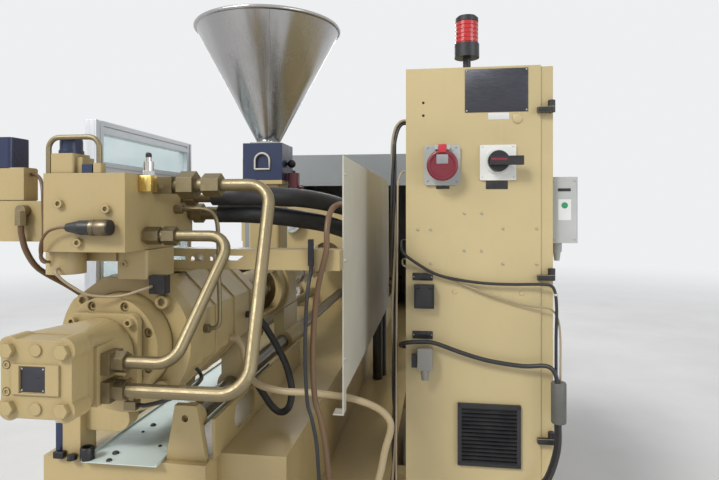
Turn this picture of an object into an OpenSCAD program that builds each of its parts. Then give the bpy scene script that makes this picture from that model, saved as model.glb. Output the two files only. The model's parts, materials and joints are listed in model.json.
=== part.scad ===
// Hydraulic injection moulding machine, seen from its injection end.
// The screw axis runs along Y, the motor is at the -Y end and the clamp at the +Y end.
// Inside the modules X = 0 is the screw axis, Y = 0 is the motor's end face and Z = 0 is the floor.

/* [Machine] */
// Height of the screw axis above the floor
axis_z = 1270; // [1240:5:1300]
// From the motor's end face to the fixed platen
platen_y = 2600; // [2560:10:2700]
// From the fixed platen to the back of the bed
clamp_l = 2260; // [2200:20:2400]
// Width of the bed
bed_w = 1100; // [1060:10:1120]
// Height of the bed's lower deck
deck_z = 700; // [650:10:740]
// Height of the beam that carries the injection unit
beam_z = 955; // [930:5:965]
// Height of the bed's rails under the clamp
rail_z = 900; // [860:5:910]
// Height of the levelling feet
foot_h = 90; // [70:5:120]

/* [Motor and housing] */
// Length of the hydraulic motor up to its square flange
motor_l = 200; // [190:5:210]
// Width of the motor's end cover
cover_w = 138; // [130:1:144]
// Height of the motor's end cover
cover_h = 150; // [144:1:154]
// Side of the motor's square flange
mflange_w = 161; // [158:1:164]
// Diameter of the bearing disc
disc_d = 228; // [224:1:236]
// Thickness of the bearing disc
disc_t = 65; // [60:1:72]
// Diameter of the ring flange
ring_d = 316; // [310:1:320]
// Thickness of the ring flange
ring_t = 42; // [38:1:48]
// Length of the octagonal housing
house_l = 440; // [430:10:460]
// Across the flats of the octagonal housing
house_af = 294; // [290:1:298]
// Bore of the injection cylinder
piston_d = 180; // [170:2:190]
// Stroke of the screw
screw_stroke = 150; // [120:10:160]

/* [Barrel and screw] */
// Diameter of the screw
screw_d = 45; // [40:1:48]
// Radial clearance of the screw in the barrel
screw_gap = 0.1; // [0.05:0.05:0.3]
// Lead of the screw's flights
screw_lead = 45; // [40:1:50]
// Outer diameter of the barrel
barrel_d = 110; // [104:2:116]
// Diameter of the feed throat
throat_d = 60; // [50:2:64]
// Travel of the whole injection unit
carriage_travel = 250; // [200:10:300]
// Diameter of the guide rods
rod_d = 50; // [45:1:55]
// Distance between the guide rods
rod_span = 184; // [176:2:200]
// Running clearance of bushings and pistons
run_gap = 0.05; // [0.02:0.01:0.1]

/* [Hopper] */
// Diameter of the hopper's rim
hopper_d = 604; // [560:4:640]
// Height of the hopper's cone
cone_h = 484; // [470:2:500]
// Diameter of the hopper's outlet
outlet_d = 96; // [90:2:104]
// Side of the dark hopper block
block_w = 164; // [156:2:176]
// Height of the dark hopper block
block_h = 150; // [140:2:160]
// Wall of the hopper
hopper_t = 3; // [2:0.5:4]

/* [Manifold] */
// Width of the manifold block
man_w = 184; // [180:1:188]
// Height of the manifold block
man_h = 165; // [160:1:170]
// Length of the manifold block
man_l = 250; // [240:5:270]
// Diameter of the long motor pipe
pipe_d = 27; // [24:1:30]
// Diameter of the short motor pipe
pipe2_d = 24; // [20:1:26]

/* [Clamp] */
// Side of the square platens
platen_w = 640; // [620:10:660]
// Thickness of the platens
platen_t = 170; // [160:5:180]
// Distance between the tie bars
tie_span = 430; // [420:5:440]
// Diameter of the tie bars
tie_d = 70; // [60:2:80]
// Gap between the platens as modelled
daylight = 480; // [450:10:520]
// Travel of the moving platen each way
open_travel = 180; // [150:10:200]
// Diameter of the clamp ram
ram_d = 200; // [180:5:220]
// Stroke of the ejector
eject_stroke = 90; // [80:5:110]
// Height of the guard's roof
roof_z = 1924; // [1900:4:1950]

/* [Cabinet] */
// Width of the control cabinet
cab_w = 400; // [390:5:410]
// Length of the control cabinet
cab_l = 1250; // [1200:10:1300]
// Top of the control cabinet
cab_top = 2001; // [1980:1:2020]
// From the screw axis to the cabinet's near side
cab_x = 606; // [600:1:615]
// From the motor's end face to the cabinet's end face
cab_y = 819; // [810:1:830]
// Thickness of the cabinet's sheet metal
sheet_t = 3; // [2:0.5:4]
// Thickness of the cabinet's door
door_t = 35; // [32:1:38]

/* [Hidden] */
$fn = 48;

cream = [0.72, 0.66, 0.50];
dark = [0.10, 0.10, 0.11];
steel = [0.70, 0.70, 0.68];
zinc = [0.72, 0.60, 0.34];
navy = [0.06, 0.08, 0.16];
grey = [0.62, 0.63, 0.62];
red = [0.60, 0.05, 0.08];

// Places along the machine, from the motor's end face
y_flange = motor_l - 4;
flange_t = 18;
y_disc = y_flange + flange_t + 4;
y_ring = y_disc + disc_t;
y_house = y_ring + ring_t;
y_lantern = y_house + house_l;
feed_l = 210;
y_feed = 1250;
lantern_l = y_feed - y_lantern;
y_throat = y_feed + 119;
y_barrel = y_feed + 40;
seat = 0.3;
bed_y = 380;
bed_end = platen_y + clamp_l;
bolt_h = 10;
box_out = 80;

// The model's origin is the middle of its box on the floor
gate_x = 580;
gate_t = 30;
gate_handle = 24;
x_low = -gate_x - gate_t / 2 - gate_handle;
x_high = cab_x + cab_w + door_t + box_out;
y_low = -bolt_h;
y_high = bed_end;
origin = [-(x_low + x_high) / 2, -(y_low + y_high) / 2, 0];

// Bed
beam_l = 276;
beam_r = 150;
apron_r = 330;
apron_y = 455;
rail_half = 330;
chute_y = platen_y + platen_t + 60;
chute_l = daylight - 60;
chute_x = 230;
chute_z = 420;
skirt_r = 30;
slot_h = 74;
slot_l = 96;
tray_x = -158;
service_l = 440;
service_ys = [560, 1120, 1680, platen_y + 900, platen_y + 1500];
foot_ys = [bed_y + 160, 1640, 3000, bed_end - 200];

// Guides
rod_z = axis_z - 220;
ped_y = 400;
rod_y = ped_y + 20;
ped_t = 45;

y_bush = ped_y + ped_t + carriage_travel + 5;

// Clamp
moving_y = platen_y + platen_t + daylight;
cyl_y = 4040;
cyl_t = 190;
cyl_d = 340;
cyl_l = 2 * open_travel + 120;
ram_end = cyl_y + cyl_t + 50 + open_travel;

// Hopper tower
block_z = 1691;
tower_top = block_z - seat;
shutter_z = 1758;
shutter_w = 74;
shutter_t = 8;
cone_z = block_z + block_h + seat;
collar_h = 12;

// Manifold
man_x = -117;
man_y = 171;
man_z = 1482;
pillar_x = 0;
pillar_w = 72;
pillar_y = 250;
pipe_z = man_z + 144;
pipe_y = 299;
pipe2_z = man_z + 32;
pipe2_y = 249;
brass = [man_x + man_w + seat, man_y + 51, man_z + 128];
port1 = [84, 99, axis_z - 45];
port2 = [84, 99, axis_z + 9];

stack_x = -286;
stack_y = 228;
stack_h = 165;
pilot_x = 4;
pilot_y = man_y + 10;
pilot_h = 20;

// Cabinet
plinth_h = 100;
cab_side = cab_x + cab_w;
door_gap = 0.5;
hinge_zs = [898, 1380, 1876];
hinge_s = 35;
pin_d = 10;
switch_x = cab_x + 275;
switch_z = 1715;
cee_x = cab_x + 110;
cee_z = 1706;
sock_x = cab_x + 56;
sock_z = 1310;
hood_x = cab_x + 59;
hood_z = 1117;
grille_x = cab_x + 156;
grille_w = 185;
grille_z = 802;
grille_h = 186;
beacon_x = cab_x + 186;
beacon_y = cab_y + 50;

// Side panel and beam
beam_y = 417;
beam_low = 1424;
beam_h = 50;
panel_x = 471;
panel_y0 = 455;
panel_y1 = 1717;
panel_top = 1704;
panel_low0 = 1115;
panel_low1 = 1125;

// Small fittings
sensor_x = 73;
clip_x = 396;

// Left guard
guard_x = -bed_w / 2 + 5;
guard_s = 45;
guard_y0 = 940;
guard_y1 = 1670;
guard_top = 1893;
guard_mid = 1700;
cover_low = 1725;

// Helpers

module place(c) {
    color(c) translate(origin) children();
}

// A cylinder along Y from its near face
module rod_y_(d, l, n = 48) {
    rotate([-90, 0, 0]) cylinder(d = d, h = l, $fn = n);
}

// A cylinder along X from its left face
module rod_x_(d, l, n = 48) {
    rotate([0, 90, 0]) cylinder(d = d, h = l, $fn = n);
}

// A hexagon bar along X or Y, by its width across flats
module hex_y(af, l) {
    rotate([-90, 0, 0]) cylinder(d = af / cos(30), h = l, $fn = 6);
}

module hex_x(af, l) {
    rotate([0, 90, 0]) cylinder(d = af / cos(30), h = l, $fn = 6);
}

// A socket head screw along Y, its head ending at the origin
module socket_head(d, h) {
    translate([0, -h, 0]) difference() {
        rod_y_(d, h, 24);
        translate([0, -1, 0]) hex_y(d * 0.52, h * 0.6 + 1);
    }
}

// A box with rounded vertical edges
module rounded_box(size, r) {
    linear_extrude(size[2]) rounded_rect(size[0], size[1], r);
}

module rounded_rect(w, h, r) {
    union() {
        translate([r, 0]) square([w - 2 * r, h]);
        translate([0, r]) square([w, h - 2 * r]);
        for (x = [r, w - r], y = [r, h - r])
            translate([x, y]) circle(r, $fn = 24);
    }
}

// A plate in the XZ plane that starts at the origin and is t thick towards +Y
module plate_xz(t) {
    translate([0, t, 0]) rotate([90, 0, 0]) linear_extrude(t) children();
}

// A plate in the YZ plane, t thick towards +X
module plate_yz(t) {
    rotate([90, 0, 90]) linear_extrude(t) children();
}

function unit(v) = v / norm(v);

// The corners of a bent pipe's centre line, each rounded by an arc of radius r
function bend(a, b, c, r, steps) =
    let (w = unit(b - a), e = unit(c - b), turn = acos(w * e), q = unit(e - w * (w * e)))
    let (start = b - w * r * tan(turn / 2), mid = start + q * r)
    [for (i = [0:steps]) mid - q * r * cos(turn * i / steps) + w * r * sin(turn * i / steps)];

function bent_path(p, r, steps) = concat([p[0]],
    [for (i = [1:len(p) - 2]) each bend(p[i - 1], p[i], p[i + 1], r, steps)], [p[len(p) - 1]]);

// Points on a smooth curve through p, k steps to each stretch
function at(p, i) = p[max(0, min(len(p) - 1, i))];
function smooth(p, k) = [for (i = [0:len(p) - 2], j = [0:k - 1]) spline(p, i, j / k), p[len(p) - 1]];
function spline(p, i, t) = 0.5 * (2 * at(p, i) + (at(p, i + 1) - at(p, i - 1)) * t
    + (2 * at(p, i - 1) - 5 * at(p, i) + 4 * at(p, i + 1) - at(p, i + 2)) * t * t
    + (3 * at(p, i) - at(p, i - 1) - 3 * at(p, i + 1) + at(p, i + 2)) * t * t * t);
function tangent(p, i) = unit(at(p, i + 1) - at(p, i - 1));
function carry(u, w) = unit(u - w * (u * w));
function frames(p, u, i = 0) = i == len(p) ? [] :
    let (v = carry(u, tangent(p, i))) concat([v], frames(p, v, i + 1));

// A soft cord or hose: one tube swept along the curve
module cord(points, d, k = 3, n = 8) {
    tube(smooth(points, k), d, n);
}

// A steel pipe with rounded bends
module bent_pipe(points, d, r) {
    tube(bent_path(points, r, 7), d, 20);
}

// One closed tube along the points p
module tube(p, d, n) {
    m = len(p);
    w0 = tangent(p, 0);
    us = frames(p, unit(cross(abs(w0[2]) < 0.9 ? [0, 0, 1] : [1, 0, 0], w0)));
    rings = [for (i = [0:m - 1], j = [0:n - 1])
        p[i] + (us[i] * cos(360 * j / n) + cross(tangent(p, i), us[i]) * sin(360 * j / n)) * d / 2];
    sides = [for (i = [0:m - 2], j = [0:n - 1])
        [i * n + j, i * n + (j + 1) % n, (i + 1) * n + (j + 1) % n, (i + 1) * n + j]];
    ends = [[for (j = [n - 1:-1:0]) j], [for (j = [0:n - 1]) (m - 1) * n + j]];
    polyhedron(rings, concat(ends, sides), convexity = 6);
}

// Bed and frame

module bed() {
    place(cream) difference() {
        union() {
            // Closed lower body and oil tank
            translate([-bed_w / 2, bed_y, foot_h])
                rounded_box([bed_w, bed_end - bed_y, deck_z - foot_h], skirt_r);
            // Beam under the injection unit, with its apron on the right
            translate([-beam_l, bed_y, deck_z - 1])
                cube([beam_l + beam_r, platen_y - bed_y, beam_z - deck_z + 1]);
            translate([beam_r - 1, apron_y, deck_z - 1])
                rotate([90, 0, 90]) linear_extrude(apron_r - beam_r + 1)
                    square([platen_y - apron_y, beam_z - deck_z + 1]);
            // Rails under the clamp
            translate([-rail_half, platen_y - 1, deck_z - 1])
                cube([2 * rail_half, bed_end - platen_y - 11, rail_z - deck_z + 1]);
            // Longitudinal plate with its long hole, right of the guides
            translate([beam_r, bed_y + 40, beam_z - 1]) plate_yz(8) difference() {
                square([860, 99]);
                translate([172, 51 - slot_h / 2]) square([slot_l, slot_h]);
                for (y = [0, slot_l]) translate([172 + y, 51]) circle(d = slot_h, $fn = 48);
            }
            // Brackets that carry the cabinet
            for (y = [cab_y + 160, cab_y + cab_l - 220], z = [foot_h + 14, deck_z - 104])
                translate([bed_w / 2 - 12, y, z]) cube([cab_x - seat - bed_w / 2 + 12, 60, 90]);
        }
        // Chute for the finished parts, open upwards and to the operator's side
        translate([-bed_w / 2 - 1, chute_y, chute_z])
            cube([bed_w / 2 + chute_x + 1, chute_l, rail_z - chute_z + 1]);
        // Recessed service panels on the long sides
        for (x = [-bed_w / 2 - 1, bed_w / 2 - 5], y = service_ys)
            translate([x, y, foot_h + 110]) cube([6, service_l, deck_z - foot_h - 230]);
    }
}

module levelling_feet() {
    place(dark) for (x = [-bed_w / 2 + 110, bed_w / 2 - 110], y = foot_ys)
        translate([x, y, 0]) {
            cylinder(d = 150, h = 22);
            cylinder(d1 = 120, d2 = 60, h = 46);
            cylinder(d = 30, h = foot_h);
            translate([0, 0, foot_h - 24]) cylinder(d = 46 / cos(30), h = 24, $fn = 6);
        }
}

// Loose white sheet tray under the unit
module drip_tray() {
    tray_w = 195;
    tray_l = 900;
    place([0.80, 0.84, 0.82]) translate([tray_x, bed_y - 24, beam_z]) difference() {
        cube([tray_w, tray_l, 8]);
        translate([2, -1, 2]) cube([tray_w - 4, tray_l - 1, 7]);
    }
}

// Bracket that holds the near ends of the guide rods: a tapered plate at the right, a post at the left
module guide_pedestal() {
    head = rod_d + 18;
    post_w = 48;
    post_x = -224;
    low = rod_z - head / 2;
    place(cream) difference() {
        union() {
            // Right plate, the head around its rod and its rib
            translate([0, ped_y, 0]) plate_xz(20)
                polygon([[39, beam_z], [143, beam_z], [119, rod_z + 40], [62, rod_z + 40]]);
            translate([rod_span / 2, ped_y + 2, rod_z]) rod_y_(head, ped_t - 2);
            translate([rod_span / 2 - 17, ped_y + 2, beam_z]) cube([34, ped_t - 2, rod_z - beam_z]);
            translate([rod_span / 2 - 7, ped_y + 19, beam_z]) plate_yz(14)
                polygon([[0, 0], [90, 0], [24, low - beam_z - 16], [0, low - beam_z - 16]]);
            // Left post with its arm and head
            translate([-rod_span / 2, ped_y + 2, rod_z]) rod_y_(head, ped_t - 2);
            translate([post_x, ped_y - 20, beam_z]) cube([post_w, ped_t + 20, rod_z + 40 - beam_z]);
            translate([post_x + 1, ped_y + 2, low]) cube([-post_x - rod_span / 2 - 1, ped_t - 2, head]);
        }
        for (s = [-1, 1]) translate([s * rod_span / 2, rod_y, rod_z]) rod_y_(rod_d, ped_t);
        translate([88, ped_y - 1, rod_z + 8]) rod_y_(17, 12, 24);
    }
}

module guide_rods() {
    place(steel) for (s = [-1, 1]) translate([s * rod_span / 2, rod_y + seat, rod_z])
        rod_y_(rod_d, platen_y - rod_y - 2 * seat);
}

// Clamp

module platen_outline(w) {
    c = 60;
    polygon([[-w / 2 + c, -w / 2], [w / 2 - c, -w / 2], [w / 2, -w / 2 + c], [w / 2, w / 2 - c],
        [w / 2 - c, w / 2], [-w / 2 + c, w / 2], [-w / 2, w / 2 - c], [-w / 2, -w / 2 + c]]);
}

module tie_points() {
    for (x = [-1, 1], z = [-1, 1]) translate([x * tie_span / 2, 0, axis_z + z * tie_span / 2]) children();
}

module mould_holes() {
    for (x = [-140, 140], z = [-140, -70, 70, 140]) translate([x, 0, axis_z + z]) children();
}

module fixed_platen() {
    place(cream) difference() {
        union() {
            translate([0, platen_y, axis_z]) plate_xz(platen_t) platen_outline(platen_w);
            translate([-rail_half + 20, platen_y, rail_z])
                cube([2 * rail_half - 40, platen_t, axis_z - rail_z - platen_w / 2 + 1]);
        }
        translate([0, platen_y - 1, axis_z]) rod_y_(190, 101);
        translate([0, platen_y, axis_z]) rod_y_(46, platen_t + 1);
        translate([0, platen_y + platen_t - 20, axis_z]) rod_y_(125, 21);
        tie_points() translate([0, platen_y - 1, 0]) rod_y_(tie_d, platen_t + 2);
        mould_holes() translate([0, platen_y + platen_t - 40, 0]) rod_y_(16, 41, 24);
    }
}

module tie_bars() {
    place(steel) tie_points() {
        translate([0, platen_y - 70, 0]) rod_y_(tie_d, cyl_y + cyl_t + 70 - platen_y + 70);
        translate([0, platen_y - 60 - seat, 0]) rod_y_(tie_d + 46, 60);
        translate([0, cyl_y + cyl_t + seat, 0]) rod_y_(tie_d + 46, 60);
    }
}

module cylinder_platen() {
    place(cream) difference() {
        union() {
            translate([0, cyl_y, axis_z]) plate_xz(cyl_t) platen_outline(platen_w);
            translate([-rail_half + 20, cyl_y, rail_z])
                cube([2 * rail_half - 40, cyl_t, axis_z - rail_z - platen_w / 2 + 1]);
        }
        translate([0, cyl_y - 1, axis_z]) rod_y_(ram_d + 2 * run_gap, cyl_t + 2, 64);
        tie_points() translate([0, cyl_y - 1, 0]) rod_y_(tie_d, cyl_t + 2);
    }
}

// Clamp cylinder with its end cap, hollow around the ram
module clamp_cylinder() {
    bore_l = cyl_l - 50;
    place(cream) translate([0, cyl_y + cyl_t, axis_z]) difference() {
        union() {
            rod_y_(cyl_d, cyl_l, 64);
            rod_y_(cyl_d + 40, 40, 64);
            translate([0, cyl_l - 60, 0]) rod_y_(cyl_d + 30, 60, 64);
            for (a = [0:45:315]) rotate([0, a + 22.5, 0]) translate([cyl_d / 2 - 14, cyl_l - 1, 0])
                hex_y(30, 15);
            translate([-45, 120, cyl_d / 2 - 20]) cube([90, 90, 70]);
        }
        translate([0, -1, 0]) rod_y_(ram_d + 44, bore_l + 1, 64);
    }
}

module moving_platen() {
    place(cream) difference() {
        union() {
            translate([0, moving_y, axis_z]) plate_xz(platen_t) platen_outline(platen_w - 10);
            translate([-220, moving_y + 20, rail_z + seat])
                cube([440, platen_t + 60, axis_z - rail_z - platen_w / 2 + 20]);
            translate([0, moving_y + platen_t - 1, axis_z]) rod_y_(280, 41, 64);
            // Clamp ram and its piston
            translate([0, moving_y + platen_t, axis_z]) rod_y_(ram_d, ram_end - moving_y - platen_t, 64);
            translate([0, ram_end - 40, axis_z]) rod_y_(ram_d + 40, 40, 64);
        }
        translate([0, moving_y - 1, axis_z]) rod_y_(40 + 2 * run_gap, platen_t + 60);
        translate([-60, moving_y + platen_t - 60, axis_z - 60]) cube([120, 60 + eject_stroke - 20, 120]);
        tie_points() translate([0, moving_y - 1, 0]) rod_y_(tie_d + 2 * run_gap, platen_t + 2);
        mould_holes() translate([0, moving_y - 1, 0]) rod_y_(16, 41, 24);
    }
}

// Ejector rod with its cross plate
module ejector() {
    plate_y = moving_y + platen_t + 40;
    place(steel) {
        translate([0, moving_y + eject_stroke / 2, axis_z])
            rod_y_(40, plate_y - moving_y - eject_stroke / 2 + 1);
        translate([-50, plate_y, axis_z - 50]) cube([100, 20, 100]);
    }
}

// Sheet housing over the clamp: end panel, roof, rails and the tail cover with louvres
module clamp_cover() {
    roof_half = gate_x - gate_t;
    post = 40;
    y0 = platen_y + 30;
    tail_y = cyl_y - 60;
    rail_out = gate_x - gate_t / 2 - roof_half - seat;
    place(grey) difference() {
        union() {
            // End panel above the fixed platen
            translate([-roof_half, y0, cover_low]) cube([2 * roof_half, 4, roof_z - cover_low]);
            translate([-roof_half, y0, roof_z - 4]) cube([2 * roof_half, bed_end - y0, 4]);
            // Side walls of the tail
            for (s = [-1, 1]) translate([s * (roof_half - 2) - 2, tail_y, deck_z])
                cube([4, bed_end - tail_y, roof_z - deck_z - 1]);
            translate([-roof_half, bed_end - 4, deck_z]) cube([2 * roof_half, 4, roof_z - deck_z - 1]);
            // Posts and top rails for the gates
            for (s = [-1, 1]) {
                translate([s * (roof_half - post / 2) - post / 2, y0, deck_z])
                    cube([post, post, roof_z - deck_z - 1]);
                translate([s * (roof_half - post / 2) - post / 2, tail_y, deck_z])
                    cube([post, post, roof_z - deck_z - 1]);
                translate([s * (roof_half - post / 2) - post / 2, y0, roof_z - 64])
                    cube([post, tail_y - y0, 60]);
                // Runner that carries the gate
                translate([s * (roof_half + rail_out / 2 - 0.5) - rail_out / 2 - 0.5, y0, roof_z - 56])
                    cube([rail_out + 1, bed_end - y0, 30]);
            }
        }
        for (i = [0:9]) for (s = [-1, 1])
            translate([s * roof_half - 8, tail_y + 240, 1240 + i * 32]) cube([16, 320, 12]);
    }
}

// Sliding safety gate: a folded frame around a clear pane, with a handle
module gate(s) {
    gy = platen_y + 110;
    gl = 1240;
    gz = 940;
    gh = roof_z - gz - 10;
    win = 110;
    translate([s * gate_x - gate_t / 2, gy, gz]) {
        difference() {
            cube([gate_t, gl, gh]);
            translate([-1, win, 330]) cube([gate_t + 2, gl - 2 * win, gh - 330 - win]);
            translate([s > 0 ? -1 : 4, 24, 24]) cube([gate_t - 3, gl - 48, 282]);
        }
        translate([gate_t / 2 - 3, win, 330]) cube([6, gl - 2 * win, gh - 330 - win]);
        // Bow handle
        for (z = [420, 660]) translate([s < 0 ? -gate_handle : gate_t - 1, 44, z])
            cube([gate_handle + 1, 16, 16]);
        translate([s < 0 ? -gate_handle : gate_t + gate_handle - 10, 44, 420]) cube([10, 16, 256]);
    }
}

module front_gate() {
    place(cream) gate(-1);
}

module rear_gate() {
    place(cream) gate(1);
}

// Aluminium guard on the operator's side

module profile_bar(size) {
    groove = 10;
    difference() {
        cube(size);
        if (size[2] > size[1]) {
            for (x = [-1, size[0] - groove / 2]) translate([x, size[1] / 2 - groove / 2, -1])
                cube([groove / 2 + 1, groove, size[2] + 2]);
        } else {
            for (x = [-1, size[0] - groove / 2]) translate([x, -1, size[2] / 2 - groove / 2])
                cube([groove / 2 + 1, size[1] + 2, groove]);
        }
    }
}

module guard_frame() {
    post_l = guard_top - deck_z;
    place([0.66, 0.68, 0.70]) {
        for (y = [guard_y0, guard_y1]) translate([guard_x, y, deck_z])
            profile_bar([guard_s, guard_s, post_l]);
        for (z = [guard_top - guard_s, guard_mid, deck_z + 60])
            translate([guard_x, guard_y0 + guard_s, z])
                profile_bar([guard_s, guard_y1 - guard_y0 - guard_s, guard_s]);
    }
}

module guard_panes() {
    y0 = guard_y0 + guard_s + seat;
    l = guard_y1 - guard_y0 - guard_s - 2 * seat;
    place([0.6, 0.85, 0.9, 0.5]) for (z =
        [[deck_z + 60 + guard_s, guard_mid], [guard_mid + guard_s, guard_top - guard_s]])
        translate([guard_x + guard_s / 2 - 3, y0, z[0] + seat]) cube([6, l, z[1] - z[0] - 2 * seat]);
}

// Injection unit

module cover_outline(w, h) {
    lobe = 22;
    bx = w / 2 - lobe + 6;
    bz = h / 2 - lobe;
    union() {
        for (x = [-1, 1], z = [-1, 1]) translate([x * bx, z * bz]) circle(lobe, $fn = 32);
        translate([-w / 2, -h / 2 + lobe]) square([w, h - 2 * lobe]);
        translate([-bx, -h / 2 + 5]) square([2 * bx, h - 10]);
    }
}

module motor_cover() {
    bolt_x = 53;
    bolt_z = 51;
    cover_t = 46;
    place(cream) translate([0, 0, axis_z]) {
        difference() {
            union() {
                plate_xz(cover_t) cover_outline(cover_w, cover_h);
                translate([-46, -4, -27]) cube([92, 5, 54]);
                for (z = [-1, 1]) translate([0, -3, z * 52]) rod_y_(22, 5, 32);
            }
            translate([-31, -5, -24]) cube([51, 4, 48]);
            for (z = [-1, 1]) translate([-58, -1, z * 24]) rod_y_(16, 3, 32);
        }
        for (z = [-1, 1]) translate([-58, 2.2, z * 24]) socket_head(13, 3);
        for (x = [-1, 1], z = [-1, 1]) translate([x * bolt_x, -bolt_h, z * bolt_z]) hex_y(24, bolt_h + 1);
    }
}

// Cast motor body with its side ports and square flange
module motor_body() {
    place(cream) translate([0, 0, axis_z]) {
        difference() {
            union() {
                translate([0, 46, 0]) hull() {
                    plate_xz(6) offset(r = 14, $fn = 32) square([cover_w - 34, cover_h - 34], center = true);
                    translate([0, y_flange - 52, 0]) rod_y_(146, 4, 32);
                }
                translate([0, 60, 0]) rod_y_(132, y_flange - 58, 48);
                translate([0, y_flange, 0]) plate_xz(flange_t)
                    translate([-mflange_w / 2, -mflange_w / 2]) rounded_rect(mflange_w, mflange_w, 20);
                translate([0, port1[1] - 34, -68]) cube([port1[0] - 10, 68, 112]);
                translate([0, y_flange + flange_t - 1, 0]) rod_y_(100, 5, 48);
            }
        }
        for (x = [-1, 1], z = [-1, 1])
            translate([x * 64, y_flange, z * 64]) socket_head(18, 12);
    }
}

module bearing_disc() {
    place(cream) translate([0, y_disc, axis_z]) {
        difference() {
            rod_y_(disc_d, disc_t - seat, 64);
            for (a = [22.5:45:360]) rotate([0, a, 0]) translate([99, -1, 0]) rod_y_(20, 15, 24);
        }
        for (a = [22.5:45:360]) rotate([0, a, 0]) translate([99, 14.2, 0]) socket_head(17, 9);
    }
}

// Ring flange, flat on top and bevelled at its upper corners
module ring_outline() {
    intersection() {
        circle(d = ring_d, $fn = 96);
        polygon([[-200, -200], [200, -200], [200, 70], [110, 147], [-52, 147], [-130, 92], [-200, 70]]);
    }
}

module ring_flange() {
    pocket = 134;
    place(cream) translate([0, y_ring, axis_z]) {
        difference() {
            plate_xz(ring_t) ring_outline();
            translate([0, -1, 0]) rod_y_(120, ring_t + 2, 64);
            translate([0, -1, 0]) rod_y_(disc_d + 4, 3, 96);
        }
        for (a = [45:90:315]) rotate([0, a, 0]) translate([pocket, 0, 0]) socket_head(30, 14);
    }
}

module octagon(af) {
    rotate(22.5) circle(d = af / cos(22.5), $fn = 8);
}

// Octagonal cast housing with cast ribs and the two guide bushings
module injection_housing() {
    boss_d = rod_d + 36;
    place(cream) difference() {
        union() {
            translate([0, y_house, axis_z]) plate_xz(house_l) octagon(house_af - 8);
            for (y = [0, house_l - 46]) translate([0, y_house + y, axis_z]) plate_xz(46) octagon(house_af);
            for (y = [130, 260]) translate([0, y_house + y, axis_z]) plate_xz(18) octagon(house_af);
            for (s = [-1, 1]) {
                translate([s * rod_span / 2, y_bush, rod_z]) rod_y_(boss_d, y_lantern - y_bush, 48);
                translate([s * rod_span / 2 - 30, y_bush, rod_z])
                    cube([60, y_lantern - y_bush, axis_z - 80 - rod_z]);
            }
        }
        translate([0, y_house - 1, axis_z]) rod_y_(piston_d + 2 * run_gap, house_l - 60, 64);
        translate([0, y_house, axis_z]) rod_y_(90 + 2 * run_gap, house_l + 1, 64);
        for (s = [-1, 1]) translate([s * rod_span / 2, y_bush - 1, rod_z])
            rod_y_(rod_d + 2 * run_gap, y_lantern - y_bush + 2, 48);
    }
}

// Open lantern between the housing and the feed block, where the screw is coupled
module lantern() {
    od = 236;
    place(cream) translate([0, y_lantern + seat, axis_z]) {
        difference() {
            union() {
                rod_y_(od, lantern_l - 2 * seat, 64);
                rod_y_(od + 40, 30, 64);
                translate([0, lantern_l - 30 - 2 * seat, 0]) rod_y_(od + 24, 30, 64);
            }
            translate([0, -1, 0]) rod_y_(od - 50, lantern_l + 2, 64);
            translate([20, 80, -70]) cube([od, lantern_l - 170, 140]);
            translate([-70, 80, 20]) cube([140, lantern_l - 170, od]);
        }
    }
}

// Pillar that carries the manifold, with cheeks for its screws
module pillar() {
    top = man_z - seat;
    flat = axis_z + 147;
    place(cream) {
        translate([pillar_x, pillar_y, flat + seat]) rounded_box([pillar_w, 130, top - flat - seat], 6);
        translate([pillar_x + 20, pillar_y + 0.2, flat + 34]) socket_head(13, 6);
        translate([man_x + 16, man_y + 52, man_z - 50]) cylinder(d = 80, h = 50 - seat);
        translate([man_x + 36, man_y + 75, flat + 40]) cube([pillar_x - man_x - 35, 50, 24]);
    }
}

module manifold_block() {
    place(cream) {
        translate([man_x, man_y, man_z]) cube([man_w, man_l, man_h]);
        for (p = [[38, 101], [144, 90], [81, 20]])
            translate([man_x + p[0], man_y, man_z + p[1]]) socket_head(18, 8);
        // Lower valve bank behind the block
        translate([man_x + 20, man_y + man_l, man_z + 20]) cube([man_w - 30, 90, man_h - 40]);
        // Side ports
        for (p = [[pipe_y, pipe_z, 36], [pipe2_y, pipe2_z, 30]])
            translate([man_x + man_w - 1, p[0], p[1]]) rod_x_(p[2], 5);
    }
}

// Solenoid body on the block and the servo valve stack at its left
module valve_bodies() {
    low_z = man_z + 18;
    sol = [-106, 176, man_z + man_h + seat];
    place(cream) {
        translate(sol) rounded_box([54, 60, 42], 5);
        translate(sol + [54, 10, 0]) cube([14, 40, 34]);
        // Stack: lower block and the ribbed valve body on it
        translate([stack_x, stack_y, low_z]) cube([man_x - seat - stack_x, 110, 90]);
        translate([stack_x - 4, stack_y + 2, low_z + 90]) rounded_box([82, 42, stack_h - 90], 5);
        for (y = [0, 32]) translate([stack_x - 6, stack_y + y, low_z + 92]) cube([84, 12, stack_h - 94]);
        // Pilot fitting
        translate([pilot_x - 9.5, pilot_y - 9.5, man_z + man_h + seat]) rounded_box([19, 19, pilot_h], 3);
    }
}

module valve_caps() {
    top = man_z + man_h + 42 + 2 * seat;
    place(navy) {
        translate([-80, 210, top]) {
            cylinder(d = 50, h = 8);
            cylinder(d = 46, h = 30);
        }
        translate([stack_x - 14, stack_y, man_z + 18 + stack_h + seat]) rounded_box([60, 62, 68], 10);
        // Plug beside the pilot fitting
        translate([pilot_x - 35, pilot_y - 8, man_z + man_h + seat]) cube([23, 18, 18]);
    }
}

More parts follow.
